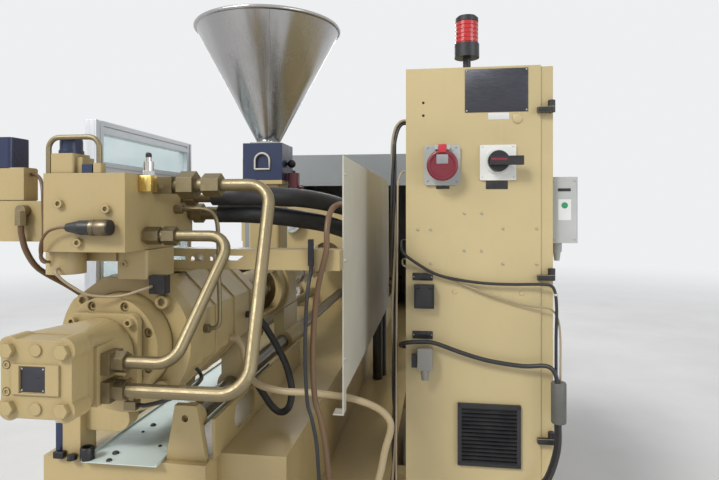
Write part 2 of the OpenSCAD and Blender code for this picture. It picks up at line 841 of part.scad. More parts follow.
// Round plug connector across the block's front face, sensor on the ring flange and cable clip on the beam
module front_connector() {
    fx = man_x + 66;
    fz = man_z + 52;
    fy = man_y - 17;
    place(dark) {
        translate([fx, fy, fz]) {
            rotate([0, 90, 0]) cylinder(d1 = 17, d2 = 30, h = 30);
            translate([30, 0, 0]) rod_x_(30, 24);
            translate([54, 0, 0]) rod_x_(32, 42);
            translate([80, 0, 0]) rotate([-90, 0, 0]) cylinder(d = 30, h = 17 - seat);
        }
        translate([sensor_x, y_ring - seat - 27, axis_z + 115]) cube([36, 27, 40]);
        translate([clip_x, beam_y - seat - 12, beam_low + 12]) cube([12, 12, 64]);
    }
}

module transducer() {
    place([0.45, 0.45, 0.46]) translate([brass[0] + 16, brass[1] + 14, brass[2] + 34 + seat]) {
        cylinder(d = 24 / cos(30), h = 10, $fn = 6);
        cylinder(d = 22, h = 30);
        translate([0, 0, 30]) cylinder(d = 12, h = 10);
        translate([0, 0, 40]) cylinder(d = 9, h = 8);
    }
}

// Adaptors, nuts and port fittings of the steel pipes
module pipe_fittings() {
    face = man_x + man_w + 4 + seat;
    place(zinc) {
        translate([face, pipe_y, pipe_z]) {
            translate([2, -19, -19]) cube([40, 38, 38]);
            difference() {
                union() {
                    rod_x_(30, 148);
                    translate([56, 0, 0]) hex_x(55, 37);
                    translate([112, 0, 0]) hex_x(46, 40);
                }
                translate([120, 0, 0]) rod_x_(pipe_d, 40);
            }
        }
        translate([face, pipe2_y, pipe2_z]) difference() {
            union() {
                rod_x_(24, 66);
                hex_x(34, 34);
                translate([42, 0, 0]) hex_x(36, 28);
            }
            translate([46, 0, 0]) rod_x_(pipe2_d, 30);
        }
        for (p = [[port1, pipe_d], [port2, pipe2_d]])
            translate([p[0][0] - 10 + seat, p[0][1], p[0][2]]) difference() {
            union() {
                translate([0, -24, -20]) cube([18, 48, 40]);
                hex_x(36, 40);
            }
            translate([20, 0, 0]) rod_x_(p[1], 30);
        }
        // Block that carries the transducer
        translate(brass) cube([28, 28, 34]);
        // Hose adaptors on the valve bank
        for (p = [hose_a[0], hose_b[0]]) translate([man_x + man_w - 10 + seat, p[1], p[2]]) {
            rod_x_(34, p[0] - man_x - man_w + 10 - 2 * seat);
            translate([12, 0, 0]) hex_x(44, 26);
        }
        // Elbow at the valve stack
        translate([stack_x + 83, stack_y - seat - 18, man_z + 86]) rod_y_(26, 18);
        translate([stack_x + 83, stack_y - 15, man_z + 54]) cylinder(d = 22 / cos(30), h = 32, $fn = 6);
        // Drain fitting under the motor's flange
        translate([62, y_flange + 9, axis_z - mflange_w / 2 - 24]) cylinder(d = 14, h = 24 - seat, $fn = 24);
        translate([50, y_flange - 2, axis_z - mflange_w / 2 - 40]) cube([26, 22, 18]);
    }
}

module long_pipe() {
    face = man_x + man_w + 4 + seat;
    a = port1;
    place(zinc) bent_pipe([[a[0] + 10 + seat, a[1], a[2]], [353, a[1], a[2]], [337, pipe_y, pipe_z],
        [face + 120, pipe_y, pipe_z]], pipe_d, 52);
}

module short_pipe() {
    face = man_x + man_w + 4 + seat;
    a = port2;
    place(zinc) bent_pipe([[a[0] + 10 + seat, a[1], a[2]], [208, a[1], a[2]], [268, pipe2_y, pipe2_z],
        [face + 46, pipe2_y, pipe2_z]], pipe2_d, 40);
}

// Thin pilot tube looping over the solenoid
module pilot_tube() {
    top = man_z + man_h;
    place(cream) bent_pipe([[-112, pilot_y, top + seat], [-112, pilot_y, top + 76],
        [pilot_x, pilot_y, top + 76], [pilot_x, pilot_y, top + pilot_h + 2 * seat]], 11, 24);
}

module barrel() {
    tip_y = platen_y + 100 - seat;
    end_y = platen_y - 110;
    place(steel) translate([0, 0, axis_z]) difference() {
        union() {
            translate([0, y_barrel, 0]) rod_y_(barrel_d, end_y - y_barrel, 64);
            translate([0, end_y - 60, 0]) rod_y_(barrel_d + 28, 60, 64);
            for (a = [0:45:315]) rotate([0, a, 0]) translate([56, end_y - 1, 0]) hex_y(16, 9);
            // Nozzle with its hexagon and ball tip
            translate([0, end_y, 0]) rod_y_(64, 60, 48);
            translate([0, end_y + 60, 0]) hex_y(46, 26);
            translate([0, end_y + 86, 0]) rod_y_(40, tip_y - end_y - 100, 48);
            translate([0, tip_y - 14, 0]) rotate([-90, 0, 0]) cylinder(d1 = 40, d2 = 26, h = 14);
        }
        translate([0, y_barrel - 1, 0]) rod_y_(screw_d + 2 * screw_gap, end_y - y_barrel - 9, 48);
        translate([0, y_barrel, 0]) rod_y_(6, tip_y - y_barrel + 1, 24);
        translate([0, y_throat, 0]) cylinder(d = throat_d, h = barrel_d);
    }
}

// Clamped heater bands with their terminal boxes
module heater_bands() {
    first = y_feed + feed_l + 90;
    pitch = 200;
    n = floor((platen_y - 190 - first) / pitch);
    place([0.60, 0.60, 0.58]) for (i = [0:n - 1]) translate([0, first + i * pitch, axis_z]) {
        difference() {
            union() {
                rod_y_(barrel_d + 20, 140, 64);
                translate([-24, 50, barrel_d / 2 + 2]) cube([48, 44, 40]);
                translate([-14, 10, -barrel_d / 2 - 26]) cube([28, 120, 26]);
            }
            translate([0, -1, 0]) rod_y_(barrel_d + 2 * seat, 142, 64);
            translate([-3, -1, -barrel_d]) cube([6, 142, barrel_d]);
        }
    }
}

// Cast feed block with its throat tower and the bushings on the guide rods
module feed_block() {
    place(cream) difference() {
        union() {
            translate([-95, y_feed, axis_z - 95]) cube([190, feed_l, 190]);
            translate([-66, y_throat - 66, axis_z + 90])
                rounded_box([132, 132, tower_top - axis_z - 90], 16);
            translate([-block_w / 2, y_throat - block_w / 2, tower_top - 16]) cube([block_w, block_w, 16]);
            for (s = [-1, 1]) {
                translate([s * rod_span / 2, y_feed, rod_z]) rod_y_(rod_d + 36, feed_l);
                translate([s * (rod_span / 2 - 12) - 20, y_feed, rod_z])
                    cube([40, feed_l, axis_z - rod_z - 90]);
            }
        }
        translate([0, y_barrel, axis_z]) rod_y_(barrel_d, feed_l, 64);
        translate([0, y_feed - 1, axis_z]) rod_y_(92, 60, 64);
        translate([0, y_throat, axis_z]) cylinder(d = throat_d, h = tower_top - axis_z + 1);
        for (s = [-1, 1]) translate([s * rod_span / 2, y_feed - 1, rod_z])
            rod_y_(rod_d + 2 * run_gap, feed_l + 2);
    }
}

// Arch of the sight window
module arch(w, h) {
    translate([-w / 2, 0]) square([w, h - w / 2]);
    translate([0, h - w / 2]) circle(d = w, $fn = 32);
}

module hopper_block() {
    wall = 14;
    place(navy) translate([0, y_throat, block_z]) {
        difference() {
            translate([-block_w / 2, -block_w / 2, 0]) cube([block_w, block_w, block_h]);
            translate([0, 0, -1]) cylinder(d = throat_d, h = block_h + 2);
            translate([-shutter_w / 2, -shutter_w / 2 - 0.5, shutter_z - block_z - 0.5])
                cube([block_w, shutter_w + 1, shutter_t + 1]);
            translate([0, -block_w / 2 - 1, 44]) plate_xz(7) arch(62, 62);
        }
        // Raised window frame
        translate([0, -block_w / 2 - 2, 44]) plate_xz(wall - 6) difference() {
            translate([0, -5]) arch(68, 70);
            arch(54, 58);
        }
    }
}

module hopper() {
    ro = outlet_d / 2;
    ri = ro - hopper_t;
    rt = hopper_d / 2;
    bead = 8;
    place(steel) translate([0, y_throat, cone_z]) {
        rotate_extrude($fn = 96) union() {
            polygon([[ri, 0], [ro, 0], [ro, collar_h], [rt - bead, cone_h - bead * 1.4],
                [rt - bead - hopper_t - 1, cone_h - bead * 1.4], [ri, collar_h + 2]]);
            translate([rt - bead, cone_h - bead]) circle(bead, $fn = 24);
        }
        difference() {
            translate([-60, -60, 0]) cube([120, 120, 6]);
            translate([0, 0, -1]) cylinder(r = ri, h = 8);
        }
    }
}

// Flat shutter with its stem and knob
module hopper_shutter() {
    z = shutter_z;
    place(steel) translate([0, y_throat, z]) {
        translate([-shutter_w / 2 + 1, -shutter_w / 2, 0])
            cube([block_w / 2 + shutter_w / 2 + 3, shutter_w, shutter_t]);
        translate([block_w / 2 + 2, 0, shutter_t / 2]) rod_x_(12, 18, 24);
        translate([block_w / 2 + 18, 0, shutter_t / 2]) sphere(d = 34, $fn = 32);
    }
}

module water_valve() {
    place(red) translate([block_w / 2 + seat, y_throat - 40, block_z - 46]) {
        translate([0, 8, 46]) cube([12, 44, 30]);
        translate([10, 10, 0]) rounded_box([40, 40, 78], 6);
        translate([30, 30, 78]) cylinder(d = 12, h = 10, $fn = 24);
        translate([48, 30, 20]) rod_x_(18, 20, 24);
    }
}

// Slotted steel angle from the unit to the panel
module cross_beam() {
    x0 = 34;
    l = panel_x - x0;
    t = 5;
    place(cream) {
        translate([x0, beam_y, beam_low]) plate_xz(t) difference() {
            square([l, beam_h]);
            translate([14, 22]) square([34, 9]);
            translate([66, 25]) circle(d = 12, $fn = 24);
            translate([114, 25]) circle(d = 12, $fn = 24);
            translate([150, 22]) square([52, 12]);
        }
        translate([x0, beam_y + t - 1, beam_low + beam_h - t]) cube([l, 58, t]);
        translate([x0, beam_y + t - 1, beam_low]) cube([l, 16, t]);
        for (x = [66, 96]) translate([x0 + x + 12, beam_y, beam_low + 25]) hex_y(10, -0.5 + 1);
        // Foot on the housing
        translate([x0, beam_y + 1, axis_z + house_af / 2 + seat])
            cube([56, 44, beam_low + 1 - axis_z - house_af / 2 - seat]);
        translate([panel_x - 2 * t, beam_y, beam_low]) cube([2 * t - seat, 63, beam_h]);
    }
}

module side_panel() {
    r = 60;
    place([0.78, 0.78, 0.74]) translate([panel_x, 0, 0]) {
        plate_yz(sheet_t) difference() {
            union() {
                polygon([[panel_y0, panel_low0], [panel_y1, panel_low1], [panel_y1, panel_top - r],
                    [panel_y1 - r, panel_top], [panel_y0, panel_top]]);
                translate([panel_y1 - r, panel_top - r]) circle(r, $fn = 48);
            }
            translate([1190, 1430]) circle(d = 9, $fn = 24);
        }
        // Folded bracket at the near lower corner
        translate([0, panel_y0, panel_low0 - 50]) cube([sheet_t, 40, 54]);
        translate([-24, panel_y0, panel_low0 - 50]) cube([25, 40, sheet_t]);
    }
}

// Piston of the injection cylinder with its rod
module injection_piston() {
    py = y_house + house_l - 130;
    place(steel) translate([0, 0, axis_z]) {
        translate([0, py, 0]) rod_y_(piston_d, 60, 64);
        translate([0, py, 0]) rod_y_(90, y_feed - 60 - py, 64);
        translate([0, y_feed - 110, 0]) rod_y_(130, 50, 64);
    }
}

// Screw: core, one long flight, shank and tip
function flight_point(a, r, dy) = [r * sin(a), dy + a * screw_lead / 360, r * cos(a)];

module flight(y0, turns, core) {
    step = 30;
    w = screw_lead * 0.12;
    n = floor(turns * 360 / step);
    r0 = core / 2 - 1;
    r1 = screw_d / 2;
    pts = [for (i = [0:n]) for (q = [[r0, 0], [r1, 1], [r1, w - 1], [r0, w]])
        flight_point(i * step, q[0], y0 + q[1])];
    sides = [for (i = [0:n - 1], j = [0:3])
        [i * 4 + j, i * 4 + (j + 1) % 4, (i + 1) * 4 + (j + 1) % 4, (i + 1) * 4 + j]];
    ends = [[3, 2, 1, 0], [n * 4, n * 4 + 1, n * 4 + 2, n * 4 + 3]];
    polyhedron(pts, concat(ends, sides), convexity = 10);
}

module screw() {
    y0 = y_feed - 60 + seat;
    y1 = platen_y - 110 - 12;
    core = screw_d * 0.66;
    first = y_throat - 30;
    place(steel) translate([0, 0, axis_z]) {
        translate([0, y0, 0]) rod_y_(70, 30, 48);
        translate([0, y0, 0]) rod_y_(screw_d - 3, y_barrel + 20 - y0, 48);
        translate([0, y_barrel + 10, 0]) rod_y_(core, y1 - 30 - y_barrel - 10, 48);
        translate([0, y1 - 60, 0]) rod_y_(screw_d - 1, 20, 48);
        translate([0, y1 - 30, 0]) rotate([-90, 0, 0]) cylinder(d1 = core, d2 = 8, h = 30);
        flight(first, floor((y1 - 70 - first) / screw_lead), core);
    }
}

// Control cabinet

module cabinet() {
    z0 = plinth_h;
    h = cab_top - z0;
    t = sheet_t;
    lip = 26;
    place(cream) translate([cab_x, cab_y, 0]) {
        difference() {
            translate([0, 0, z0]) cube([cab_w, cab_l, h]);
            translate([t, t, z0 + t]) cube([cab_w, cab_l - 2 * t, h - 2 * t]);
        }
        // Door frame
        difference() {
            translate([cab_w - t, t - 0.5, z0 + t - 0.5]) cube([t, cab_l - 2 * t + 1, h - 2 * t + 1]);
            translate([cab_w - t - 1, lip, z0 + lip]) cube([t + 2, cab_l - 2 * lip, h - 2 * lip]);
        }
        // Plinth
        translate([20, 20, 0]) cube([cab_w - 40, cab_l - 40, z0 + 1]);
        // Mounting plate with its row of devices
        translate([t + 14, 60, z0 + 60]) cube([t, cab_l - 120, h - 120]);
        translate([t - 1, 90, z0 + 200]) cube([16, 30, h - 400]);
        translate([t - 1, cab_l - 120, z0 + 200]) cube([16, 30, h - 400]);
        for (i = [0:2]) translate([t + 16, 120 + i * 340, z0 + 1180]) cube([120, 240, 340]);
        for (i = [0:8]) translate([t + 16, 120 + i * 112, z0 + 820]) cube([80, 70, 110]);
        for (z = [z0 + 700, z0 + 1020, z0 + 1600]) translate([t + 16, 90, z]) cube([60, cab_l - 180, 50]);
        translate([t + 16, 160, z0 + 240]) cube([180, 360, 320]);
        // Fixed halves of the hinges, with their pins
        for (z = hinge_zs) translate([cab_w + door_t, 0, z]) {
            translate([-door_t - 12, -17, -hinge_s / 2]) cube([door_t + 6, 17, 16]);
            translate([-door_t - 12, -1, -hinge_s / 2]) cube([11, 2, 16]);
            translate([-6, -7, -hinge_s / 2]) cylinder(d = 20, h = 16);
            translate([-6, -7, -hinge_s / 2]) cylinder(d = pin_d, h = hinge_s);
        }
    }
}

module cabinet_door() {
    z0 = plinth_h + 4;
    h = cab_top - plinth_h - 8;
    place(cream) translate([cab_side + door_gap, cab_y, 0]) difference() {
        union() {
            translate([0, 4, z0]) cube([door_t - door_gap, cab_l - 4, h]);
            for (z = hinge_zs) {
                translate([door_t - 6 - door_gap, -7, z - hinge_s / 2 + 16.5])
                    cylinder(d = 20, h = hinge_s - 16.5);
                translate([door_t - 16 - door_gap, -7, z - hinge_s / 2 + 16.5])
                    cube([16, 13, hinge_s - 16.5]);
            }
            translate([door_t - 1, cab_l - 90, 1180]) cube([26, 34, 130]);
        }
        for (z = hinge_zs) translate([door_t - 6 - door_gap, -7, z - hinge_s / 2])
            cylinder(d = pin_d + 2 * run_gap, h = hinge_s + 1);
        translate([-1, 24, z0 + 24]) cube([door_t - 3, cab_l - 48, h - 48]);
    }
}

// Grey terminal box on the door, with its plug below
module door_box() {
    x = cab_side + door_t + seat;
    place(grey) translate([x, cab_y + 40, 1470]) {
        translate([0, 0, 0]) rounded_box([box_out - seat, 240, 200], 8);
        translate([30, 60, -30]) cylinder(d = 30, h = 31);
        translate([30, 60, -58]) cylinder(d1 = 16, d2 = 24, h = 29);
    }
}

module beacon_body() {
    place(dark) translate([beacon_x, beacon_y, cab_top + seat]) {
        cylinder(d = 44, h = 6);
        cylinder(d = 24, h = 42);
        translate([0, 0, 40]) cylinder(d = 76, h = 42 - seat);
        translate([0, 0, 150 + seat]) cylinder(d = 70, h = 12);
        translate([0, 0, 161]) cylinder(d = 58, h = 7);
    }
}

// Ribbed lens
module beacon_lens() {
    place(red) translate([beacon_x, beacon_y, cab_top + 82 + seat]) union() {
        cylinder(d = 66, h = 68);
        for (i = [0:4]) translate([0, 0, 4 + i * 13]) cylinder(d = 70, h = 7);
    }
}

module cee_socket() {
    w = 108;
    h = 122;
    place(grey) translate([cee_x, cab_y - seat, cee_z]) {
        difference() {
            translate([0, -8, 0]) plate_xz(8) translate([-w / 2, -h / 2]) rounded_rect(w, h, 10);
            for (x = [-1, 1], z = [-1, 1]) translate([x * 42, -9, z * 50]) rod_y_(8, 3, 24);
        }
        difference() {
            translate([0, -40, 0]) rod_y_(84, 33);
            translate([0, -41, 0]) rod_y_(70, 24);
        }
        for (a = [0:72:288]) rotate([0, a, 0]) translate([22, -34, 0]) rod_y_(7, 20, 24);
        for (x = [-1, 1]) translate([x * 17 - 5, -56, 42.5]) cube([10, 50, 13.5]);
        translate([-20, -51, 50]) rod_x_(5, 40, 24);
    }
}

module cee_lid() {
    place(red) translate([cee_x, cab_y - seat, cee_z]) {
        difference() {
            union() {
                translate([0, -54, -4]) rod_y_(92, 12);
                translate([-11, -58, 34]) cube([22, 16, 22]);
                translate([-11, -51, 50]) rod_x_(14, 22, 24);
            }
            translate([-12, -51, 50]) rod_x_(5.1, 24, 24);
            translate([0, -44, -4]) rod_y_(76, 5);
        }
    }
}

module switch_plate() {
    w = 106;
    place([0.9, 0.9, 0.88]) translate([switch_x, cab_y - seat, switch_z - 3]) difference() {
        union() {
            translate([0, -6, 0]) plate_xz(6) translate([-w / 2, -w / 2]) rounded_rect(w, w, 4);
            translate([0, -10, 3]) rod_y_(76, 5);
        }
        translate([0, -11, 3]) rod_y_(20 + 2 * run_gap, 8);
        for (x = [-1, 1], z = [-1, 1]) translate([x * 45, -7, z * 45]) rod_y_(6, 3, 24);
    }
}

// Rotary handle pointing to the right
module switch_knob() {
    place(dark) translate([switch_x, cab_y - seat, switch_z]) {
        translate([0, -12, 0]) rod_y_(20, 8.7);
        translate([0, -34, 0]) rod_y_(62, 23.7);
        translate([-26, -52, -13]) cube([95, 19, 26]);
    }
}

module wall_socket() {
    place(dark) translate([sock_x, cab_y - seat, sock_z]) {
        difference() {
            translate([-30, -30, -36]) cube([60, 30, 70]);
            translate([0, -31, -4]) rod_y_(42, 18);
        }
        for (x = [-1, 1]) translate([x * 20 - 5, -38, 26]) cube([10, 9, 10]);
        translate([-25, -34, 31]) rod_x_(4, 50, 24);
    }
}

module socket_lid() {
    place(dark) translate([sock_x, cab_y - seat, sock_z]) difference() {
        union() {
            translate([-24, -37, -28]) cube([48, 6.5, 52]);
            translate([-14.5, -34, 31]) rod_x_(7.4, 29, 24);
            translate([-14.5, -37, 23]) cube([29, 6, 8]);
        }
        translate([-15, -34, 31]) rod_x_(4.2, 30, 24);
    }
}

// Heavy connector hood held by a locking lever
module hood_connector() {
    place(grey) translate([hood_x, cab_y - seat, hood_z]) {
        translate([-22, -28, -28]) cube([44, 28, 60]);
        translate([-22, -52, -24]) cube([44, 25, 66]);
        translate([0, -40, -53]) cylinder(d1 = 22, d2 = 26, h = 30);
        translate([-42, -14, 0]) rod_x_(8, 22, 24);
    }
}

module hood_lever() {
    place(dark) translate([hood_x, cab_y - seat, hood_z]) difference() {
        union() {
            translate([-40, -14, 0]) rod_x_(26, 16, 32);
            translate([-40, -44, -17]) cube([16, 20, 37]);
            translate([-40, -28, -6]) cube([16, 14, 12]);
        }
        translate([-41, -14, 0]) rod_x_(8.1, 18, 24);
    }
}

// Louvred cover of the filter fan
module filter_grille() {
    bars = 14;
    rim = 12;
    pitch = (grille_h - 2 * rim) / bars;
    place(dark) translate([grille_x, cab_y - seat, grille_z]) {
        difference() {
            translate([0, -10, 0]) cube([grille_w, 10, grille_h]);
            translate([rim, -11, rim]) cube([grille_w - 2 * rim, 8, grille_h - 2 * rim]);
        }
        for (i = [0:bars - 1]) translate([rim - 1, -4, rim + i * pitch + 2])
            rotate([35, 0, 0]) translate([0, -8, 0]) cube([grille_w - 2 * rim + 2, 10, 3]);
    }
}

// Cords. Each route is a list of places, in millimetres from the screw axis, the motor face and the floor.

sensor_route = [[80, 255.2, 1402], [80, 249, 1402], [79, 241, 1401], [66, 226, 1396],
    [42, 214, 1388], [12, 206, 1385], [-30, 188, 1392], [-66, 172, 1418], [-84, 166, 1438],
    [-88.5, 174.6, 1445], [-90.9, 183.9, 1446]];
plug_route = [[-51.5, 154, 1534], [-57, 154, 1534], [-64, 154, 1534], [-76, 153, 1532],
    [-92, 153, 1526], [-106, 155, 1512], [-114, 158, 1494], [-118, 165, 1474],
    [-115.4, 175.1, 1462], [-112.6, 184.3, 1460]];
stack_route = [[-203, 213, 1535.5], [-203, 213, 1526], [-202, 214, 1514], [-197, 222, 1478],
    [-184, 244, 1438], [-168, 310, 1396], [-151, 343, 1369], [-140, 345, 1358],
    [-130.1, 345, 1348.1]];
drain_route = [[76.5, 205, 1158], [84, 205, 1158], [93, 206, 1158], [118, 216, 1162],
    [143, 250, 1166], [152, 310, 1167], [147, 362, 1168], [136, 386, 1172], [128, 390, 1180],
    [120.6, 390, 1187.4]];
side_route = [[-207.5, 250, 1650], [-202, 250, 1650], [-194, 249, 1649], [-175, 238, 1638],
    [-161, 226, 1616], [-155, 220, 1580], [-152, 218, 1540], [-153, 218, 1508], [-159, 220, 1480],
    [-162, 222, 1468], [-159, 223, 1458], [-151, 223, 1455], [-141.4, 223, 1455]];
hose_a = [[140.4, 452, 1606], [160, 452, 1606], [185, 453, 1606], [215, 461, 1606],
    [265, 495, 1605], [325, 566, 1603], [378, 666, 1594], [418, 820, 1577], [425, 1000, 1560],
    [425, 1300, 1545], [425, 1600, 1520], [420, 1800, 1470], [412, 1950, 1370], [408, 2030, 1220],
    [408, 2050, 1050], [408, 2050, 850], [408, 2050, 700.5]];
hose_b = [[140.4, 496, 1562], [160, 496, 1562], [185, 497, 1562], [215, 505, 1561],
    [265, 543, 1556], [322, 616, 1545], [378, 718, 1529], [416, 850, 1505], [425, 1020, 1488],
    [425, 1300, 1478], [425, 1600, 1450], [418, 1790, 1395], [404, 1900, 1300], [396, 1960, 1180],
    [394, 1975, 1040], [394, 1975, 850], [394, 1975, 700.5]];
brown_route = [[470.4, 470, 1585], [464, 470, 1585], [457, 468, 1583], [450, 460, 1578],
    [445, 446, 1569], [442, 426, 1550], [441, 410, 1520], [441, 403, 1472], [426, 402, 1408],
    [415, 404, 1344], [408, 405, 1227], [413, 405, 1122], [425, 405, 1079], [437, 405, 1022],
    [447, 410, 927], [450, 430, 860], [450, 462, 780], [450, 470, 735], [450, 470, 700.5]];
thin_route = [[402, 411, 1435.5], [402, 411, 1427], [402, 409, 1417], [400, 394, 1392],
    [397, 386, 1344], [394, 385, 1227], [399, 385, 1122], [410, 385, 1079], [421, 386, 1022],
    [427, 390, 927], [428, 404, 860], [428, 440, 775], [428, 448, 730], [428, 448, 700.5]];
cream_route = [[143.5, 560, 1222], [153, 560, 1222], [164, 560, 1219], [178, 557, 1200],
    [188, 552, 1168], [203, 543, 1134], [232, 527, 1110], [303, 508, 1101], [384, 507, 1100],
    [483, 507, 1091], [549, 504, 1072], [580, 500, 1048], [586, 500, 1019], [572, 500, 968],
    [559, 500, 905], [530, 500, 805], [520, 500, 745], [520, 500, 700.5]];
loop_route = [[143.6, 690, 1262], [151, 690, 1262], [158.5, 690, 1262], [168, 690, 1260],
    [184, 689, 1249], [204, 685, 1226], [230, 676, 1192], [256, 666, 1154], [276, 660, 1115],
    [290, 654, 1060], [284, 652, 1012], [262, 655, 992], [236, 660, 1000], [205, 672, 1030],
    [172, 684, 1068], [152, 686, 1086], [138.6, 687, 1092]];
upper_route = [[605.4, 872, 1474], [600, 872, 1474], [594.6, 871, 1473.5], [591.5, 864, 1471.5],
    [590.5, 850, 1466], [594, 812, 1450], [612, 796, 1428], [690, 799, 1380], [760, 800, 1362],
    [840, 801, 1352], [920, 801, 1350], [992, 798, 1352], [1028, 791, 1350], [1040, 787, 1330],
    [1044, 785, 1280], [1042, 784, 1200], [1042, 784, 1080], [1041, 783, 960], [1039, 783, 880],
    [1012, 781, 795], [966, 784, 735], [944, 790, 600], [934, 795, 350], [933, 796, 260],
    [931, 797, 236], [930, 801, 214], [930, 808, 203], [930, 813.5, 200.5], [930, 818.5, 200]];
fine_route = [[605.4, 862, 1416], [601, 862, 1416], [597, 861.5, 1415.8], [594.5, 857, 1414.5],
    [594, 842, 1410], [598, 814, 1402], [614, 808, 1396], [690, 808, 1376], [770, 808, 1350],
    [850, 808, 1318], [950, 806, 1290], [1012, 798, 1284], [1034, 797, 1277], [1049, 793, 1252],
    [1054, 784, 1200], [1054, 783, 1080], [1054, 782, 960], [1052, 782, 880], [1026, 780, 800],
    [986, 782, 738], [974, 789, 600], [970, 795, 350], [973, 796, 260], [971, 797, 236],
    [970, 801, 214], [970, 808, 203], [970, 813.5, 200.5], [970, 818.5, 200]];
lower_route = [[605.4, 872, 1140], [600, 872, 1140], [594.6, 871.5, 1140.2], [590, 866, 1142],
    [588.5, 855, 1146], [589, 840, 1150], [592, 812, 1160], [608, 794, 1169], [640, 787, 1174],
    [690, 788, 1173], [770, 792, 1146], [850, 794, 1124], [950, 792, 1112], [1014, 780, 1118],
    [1037, 768, 1098], [1045, 765, 1040], [1047, 765, 960], [1045, 766, 880], [1020, 767, 797],
    [978, 772, 735], [960, 776, 600], [952, 784, 350], [953, 796, 260], [951, 797, 236],
    [950, 801, 214], [950, 808, 203], [950, 813.5, 200.5], [950, 818.5, 200]];
black_route = [[605.4, 850, 1845], [597, 850, 1844.5], [588, 849, 1840], [578, 846.5, 1826],
    [571, 843.5, 1800], [567, 841, 1760], [566, 840, 1700], [566, 840, 1500], [568, 840, 1300],
    [570, 841, 1100], [570, 842, 900], [568, 842, 700], [566, 842, 500], [566, 841, 420],
    [567, 842, 380], [571, 844, 345], [578, 847, 320], [588, 849.5, 306], [597, 850, 302],
    [605.4, 850, 301.5]];
white_route = [[605.4, 838, 1690], [600, 838, 1690], [594, 837, 1688], [587, 833, 1676],
    [581, 828, 1650], [580, 826, 1610], [579, 825, 1450], [577, 825, 1250], [576, 825, 1000],
    [576, 825, 700], [576, 825, 500], [580, 828, 450], [587, 833, 424], [594, 837, 412],
    [600, 838, 410], [605.4, 838, 410]];

module unit_cables() {
    place(dark) {
        cord(drain_route, 9, 3);
        cord(sensor_route, 6, 3);
        cord(plug_route, 6, 3);
        cord(stack_route, 13, 3);
        cord(side_route, 8, 3);
        cord(loop_route, 20, 2);
    }
}

module carriage_hoses() {
    place(dark) {
        cord(hose_a, 50, 2, 10);
        cord(hose_b, 50, 2, 10);
        cord(brown_route, 14, 2);
        cord(thin_route, 9, 2);
        cord(cream_route, 18, 2);
    }
}

module cabinet_cables() {
    place(dark) {
        cord(upper_route, 9, 2);
        cord(fine_route, 6, 2);
        cord(lower_route, 13, 2);
        cord(black_route, 20, 2);
        cord(white_route, 6, 2);
    }
}

bed();
levelling_feet();
drip_tray();
guide_pedestal();
guide_rods();
fixed_platen();
tie_bars();
cylinder_platen();
clamp_cylinder();
clamp_cover();
guard_frame();
guard_panes();
cabinet();
beacon_body();
beacon_lens();
cee_socket();
switch_plate();
wall_socket();
hood_connector();
filter_grille();
motor_cover();
motor_body();
bearing_disc();
ring_flange();
injection_housing();
lantern();
pillar();
manifold_block();
valve_bodies();
valve_caps();
front_connector();
transducer();
pipe_fittings();
long_pipe();
short_pipe();
pilot_tube();
barrel();
heater_bands();
feed_block();
hopper_block();
hopper();
water_valve();
cross_beam();
side_panel();
injection_piston();
screw();
moving_platen();
ejector();
front_gate();
rear_gate();
cabinet_door();
door_box();
switch_knob();
cee_lid();
socket_lid();
hood_lever();
hopper_shutter();
unit_cables();
carriage_hoses();
cabinet_cables();
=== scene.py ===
import bmesh
import bpy
import json
import math
from mathutils import Matrix, Vector


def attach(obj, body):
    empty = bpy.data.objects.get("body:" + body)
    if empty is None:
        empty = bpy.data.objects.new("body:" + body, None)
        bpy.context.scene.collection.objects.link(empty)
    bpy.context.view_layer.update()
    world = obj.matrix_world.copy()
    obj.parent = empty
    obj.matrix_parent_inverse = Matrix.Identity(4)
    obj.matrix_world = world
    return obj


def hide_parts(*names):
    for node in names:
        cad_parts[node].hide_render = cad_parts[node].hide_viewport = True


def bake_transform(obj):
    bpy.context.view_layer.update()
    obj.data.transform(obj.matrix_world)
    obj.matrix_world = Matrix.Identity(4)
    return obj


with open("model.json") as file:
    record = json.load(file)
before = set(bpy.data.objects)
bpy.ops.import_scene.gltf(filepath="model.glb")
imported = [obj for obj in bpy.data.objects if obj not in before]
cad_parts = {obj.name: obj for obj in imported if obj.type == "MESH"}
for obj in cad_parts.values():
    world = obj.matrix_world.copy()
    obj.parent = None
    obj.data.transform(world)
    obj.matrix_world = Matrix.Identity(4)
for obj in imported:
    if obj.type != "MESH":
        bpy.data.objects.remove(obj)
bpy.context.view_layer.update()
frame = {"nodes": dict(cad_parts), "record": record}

# The source measures from the screw axis, the motor's end face and the floor. This takes it to the row frame.
SHIFT = Vector((-0.251, -2.425, 0.0))

# Places and the seat gap of the source that several pieces share, in metres
AXIS_Z = 1.270
HOPPER_Y = 1.369
CABINET_X = 0.606
CABINET_Y = 0.819
BEAM_TOP = 0.9551
TRAY_TOP = 0.957
SEAT = 0.0003


def row(p):
    """A point of the source, in metres, in the row frame."""
    return Vector(p) + SHIFT


# Camera: eye height 1.57 m, turned 8 degrees to the left, level. The photo's width and focal length and how far
# its horizon lies above its middle are in pixels, the sensor in millimetres.

IMAGE_W = 719
FOCAL_PX = 560
HORIZON_UP_PX = 30
SENSOR = 36.0

camera_data = bpy.data.cameras.new("camera")
camera_data.sensor_width = SENSOR
camera_data.lens = SENSOR * FOCAL_PX / IMAGE_W
camera_data.shift_y = -HORIZON_UP_PX / IMAGE_W
camera_data.clip_end = 200
camera = bpy.data.objects.new("camera", camera_data)
camera.location = row((0.704, -0.901, 1.570))
camera.rotation_euler = (math.radians(90), 0, math.radians(8))
bpy.context.scene.collection.objects.link(camera)
bpy.context.scene.camera = camera


# Mesh helpers


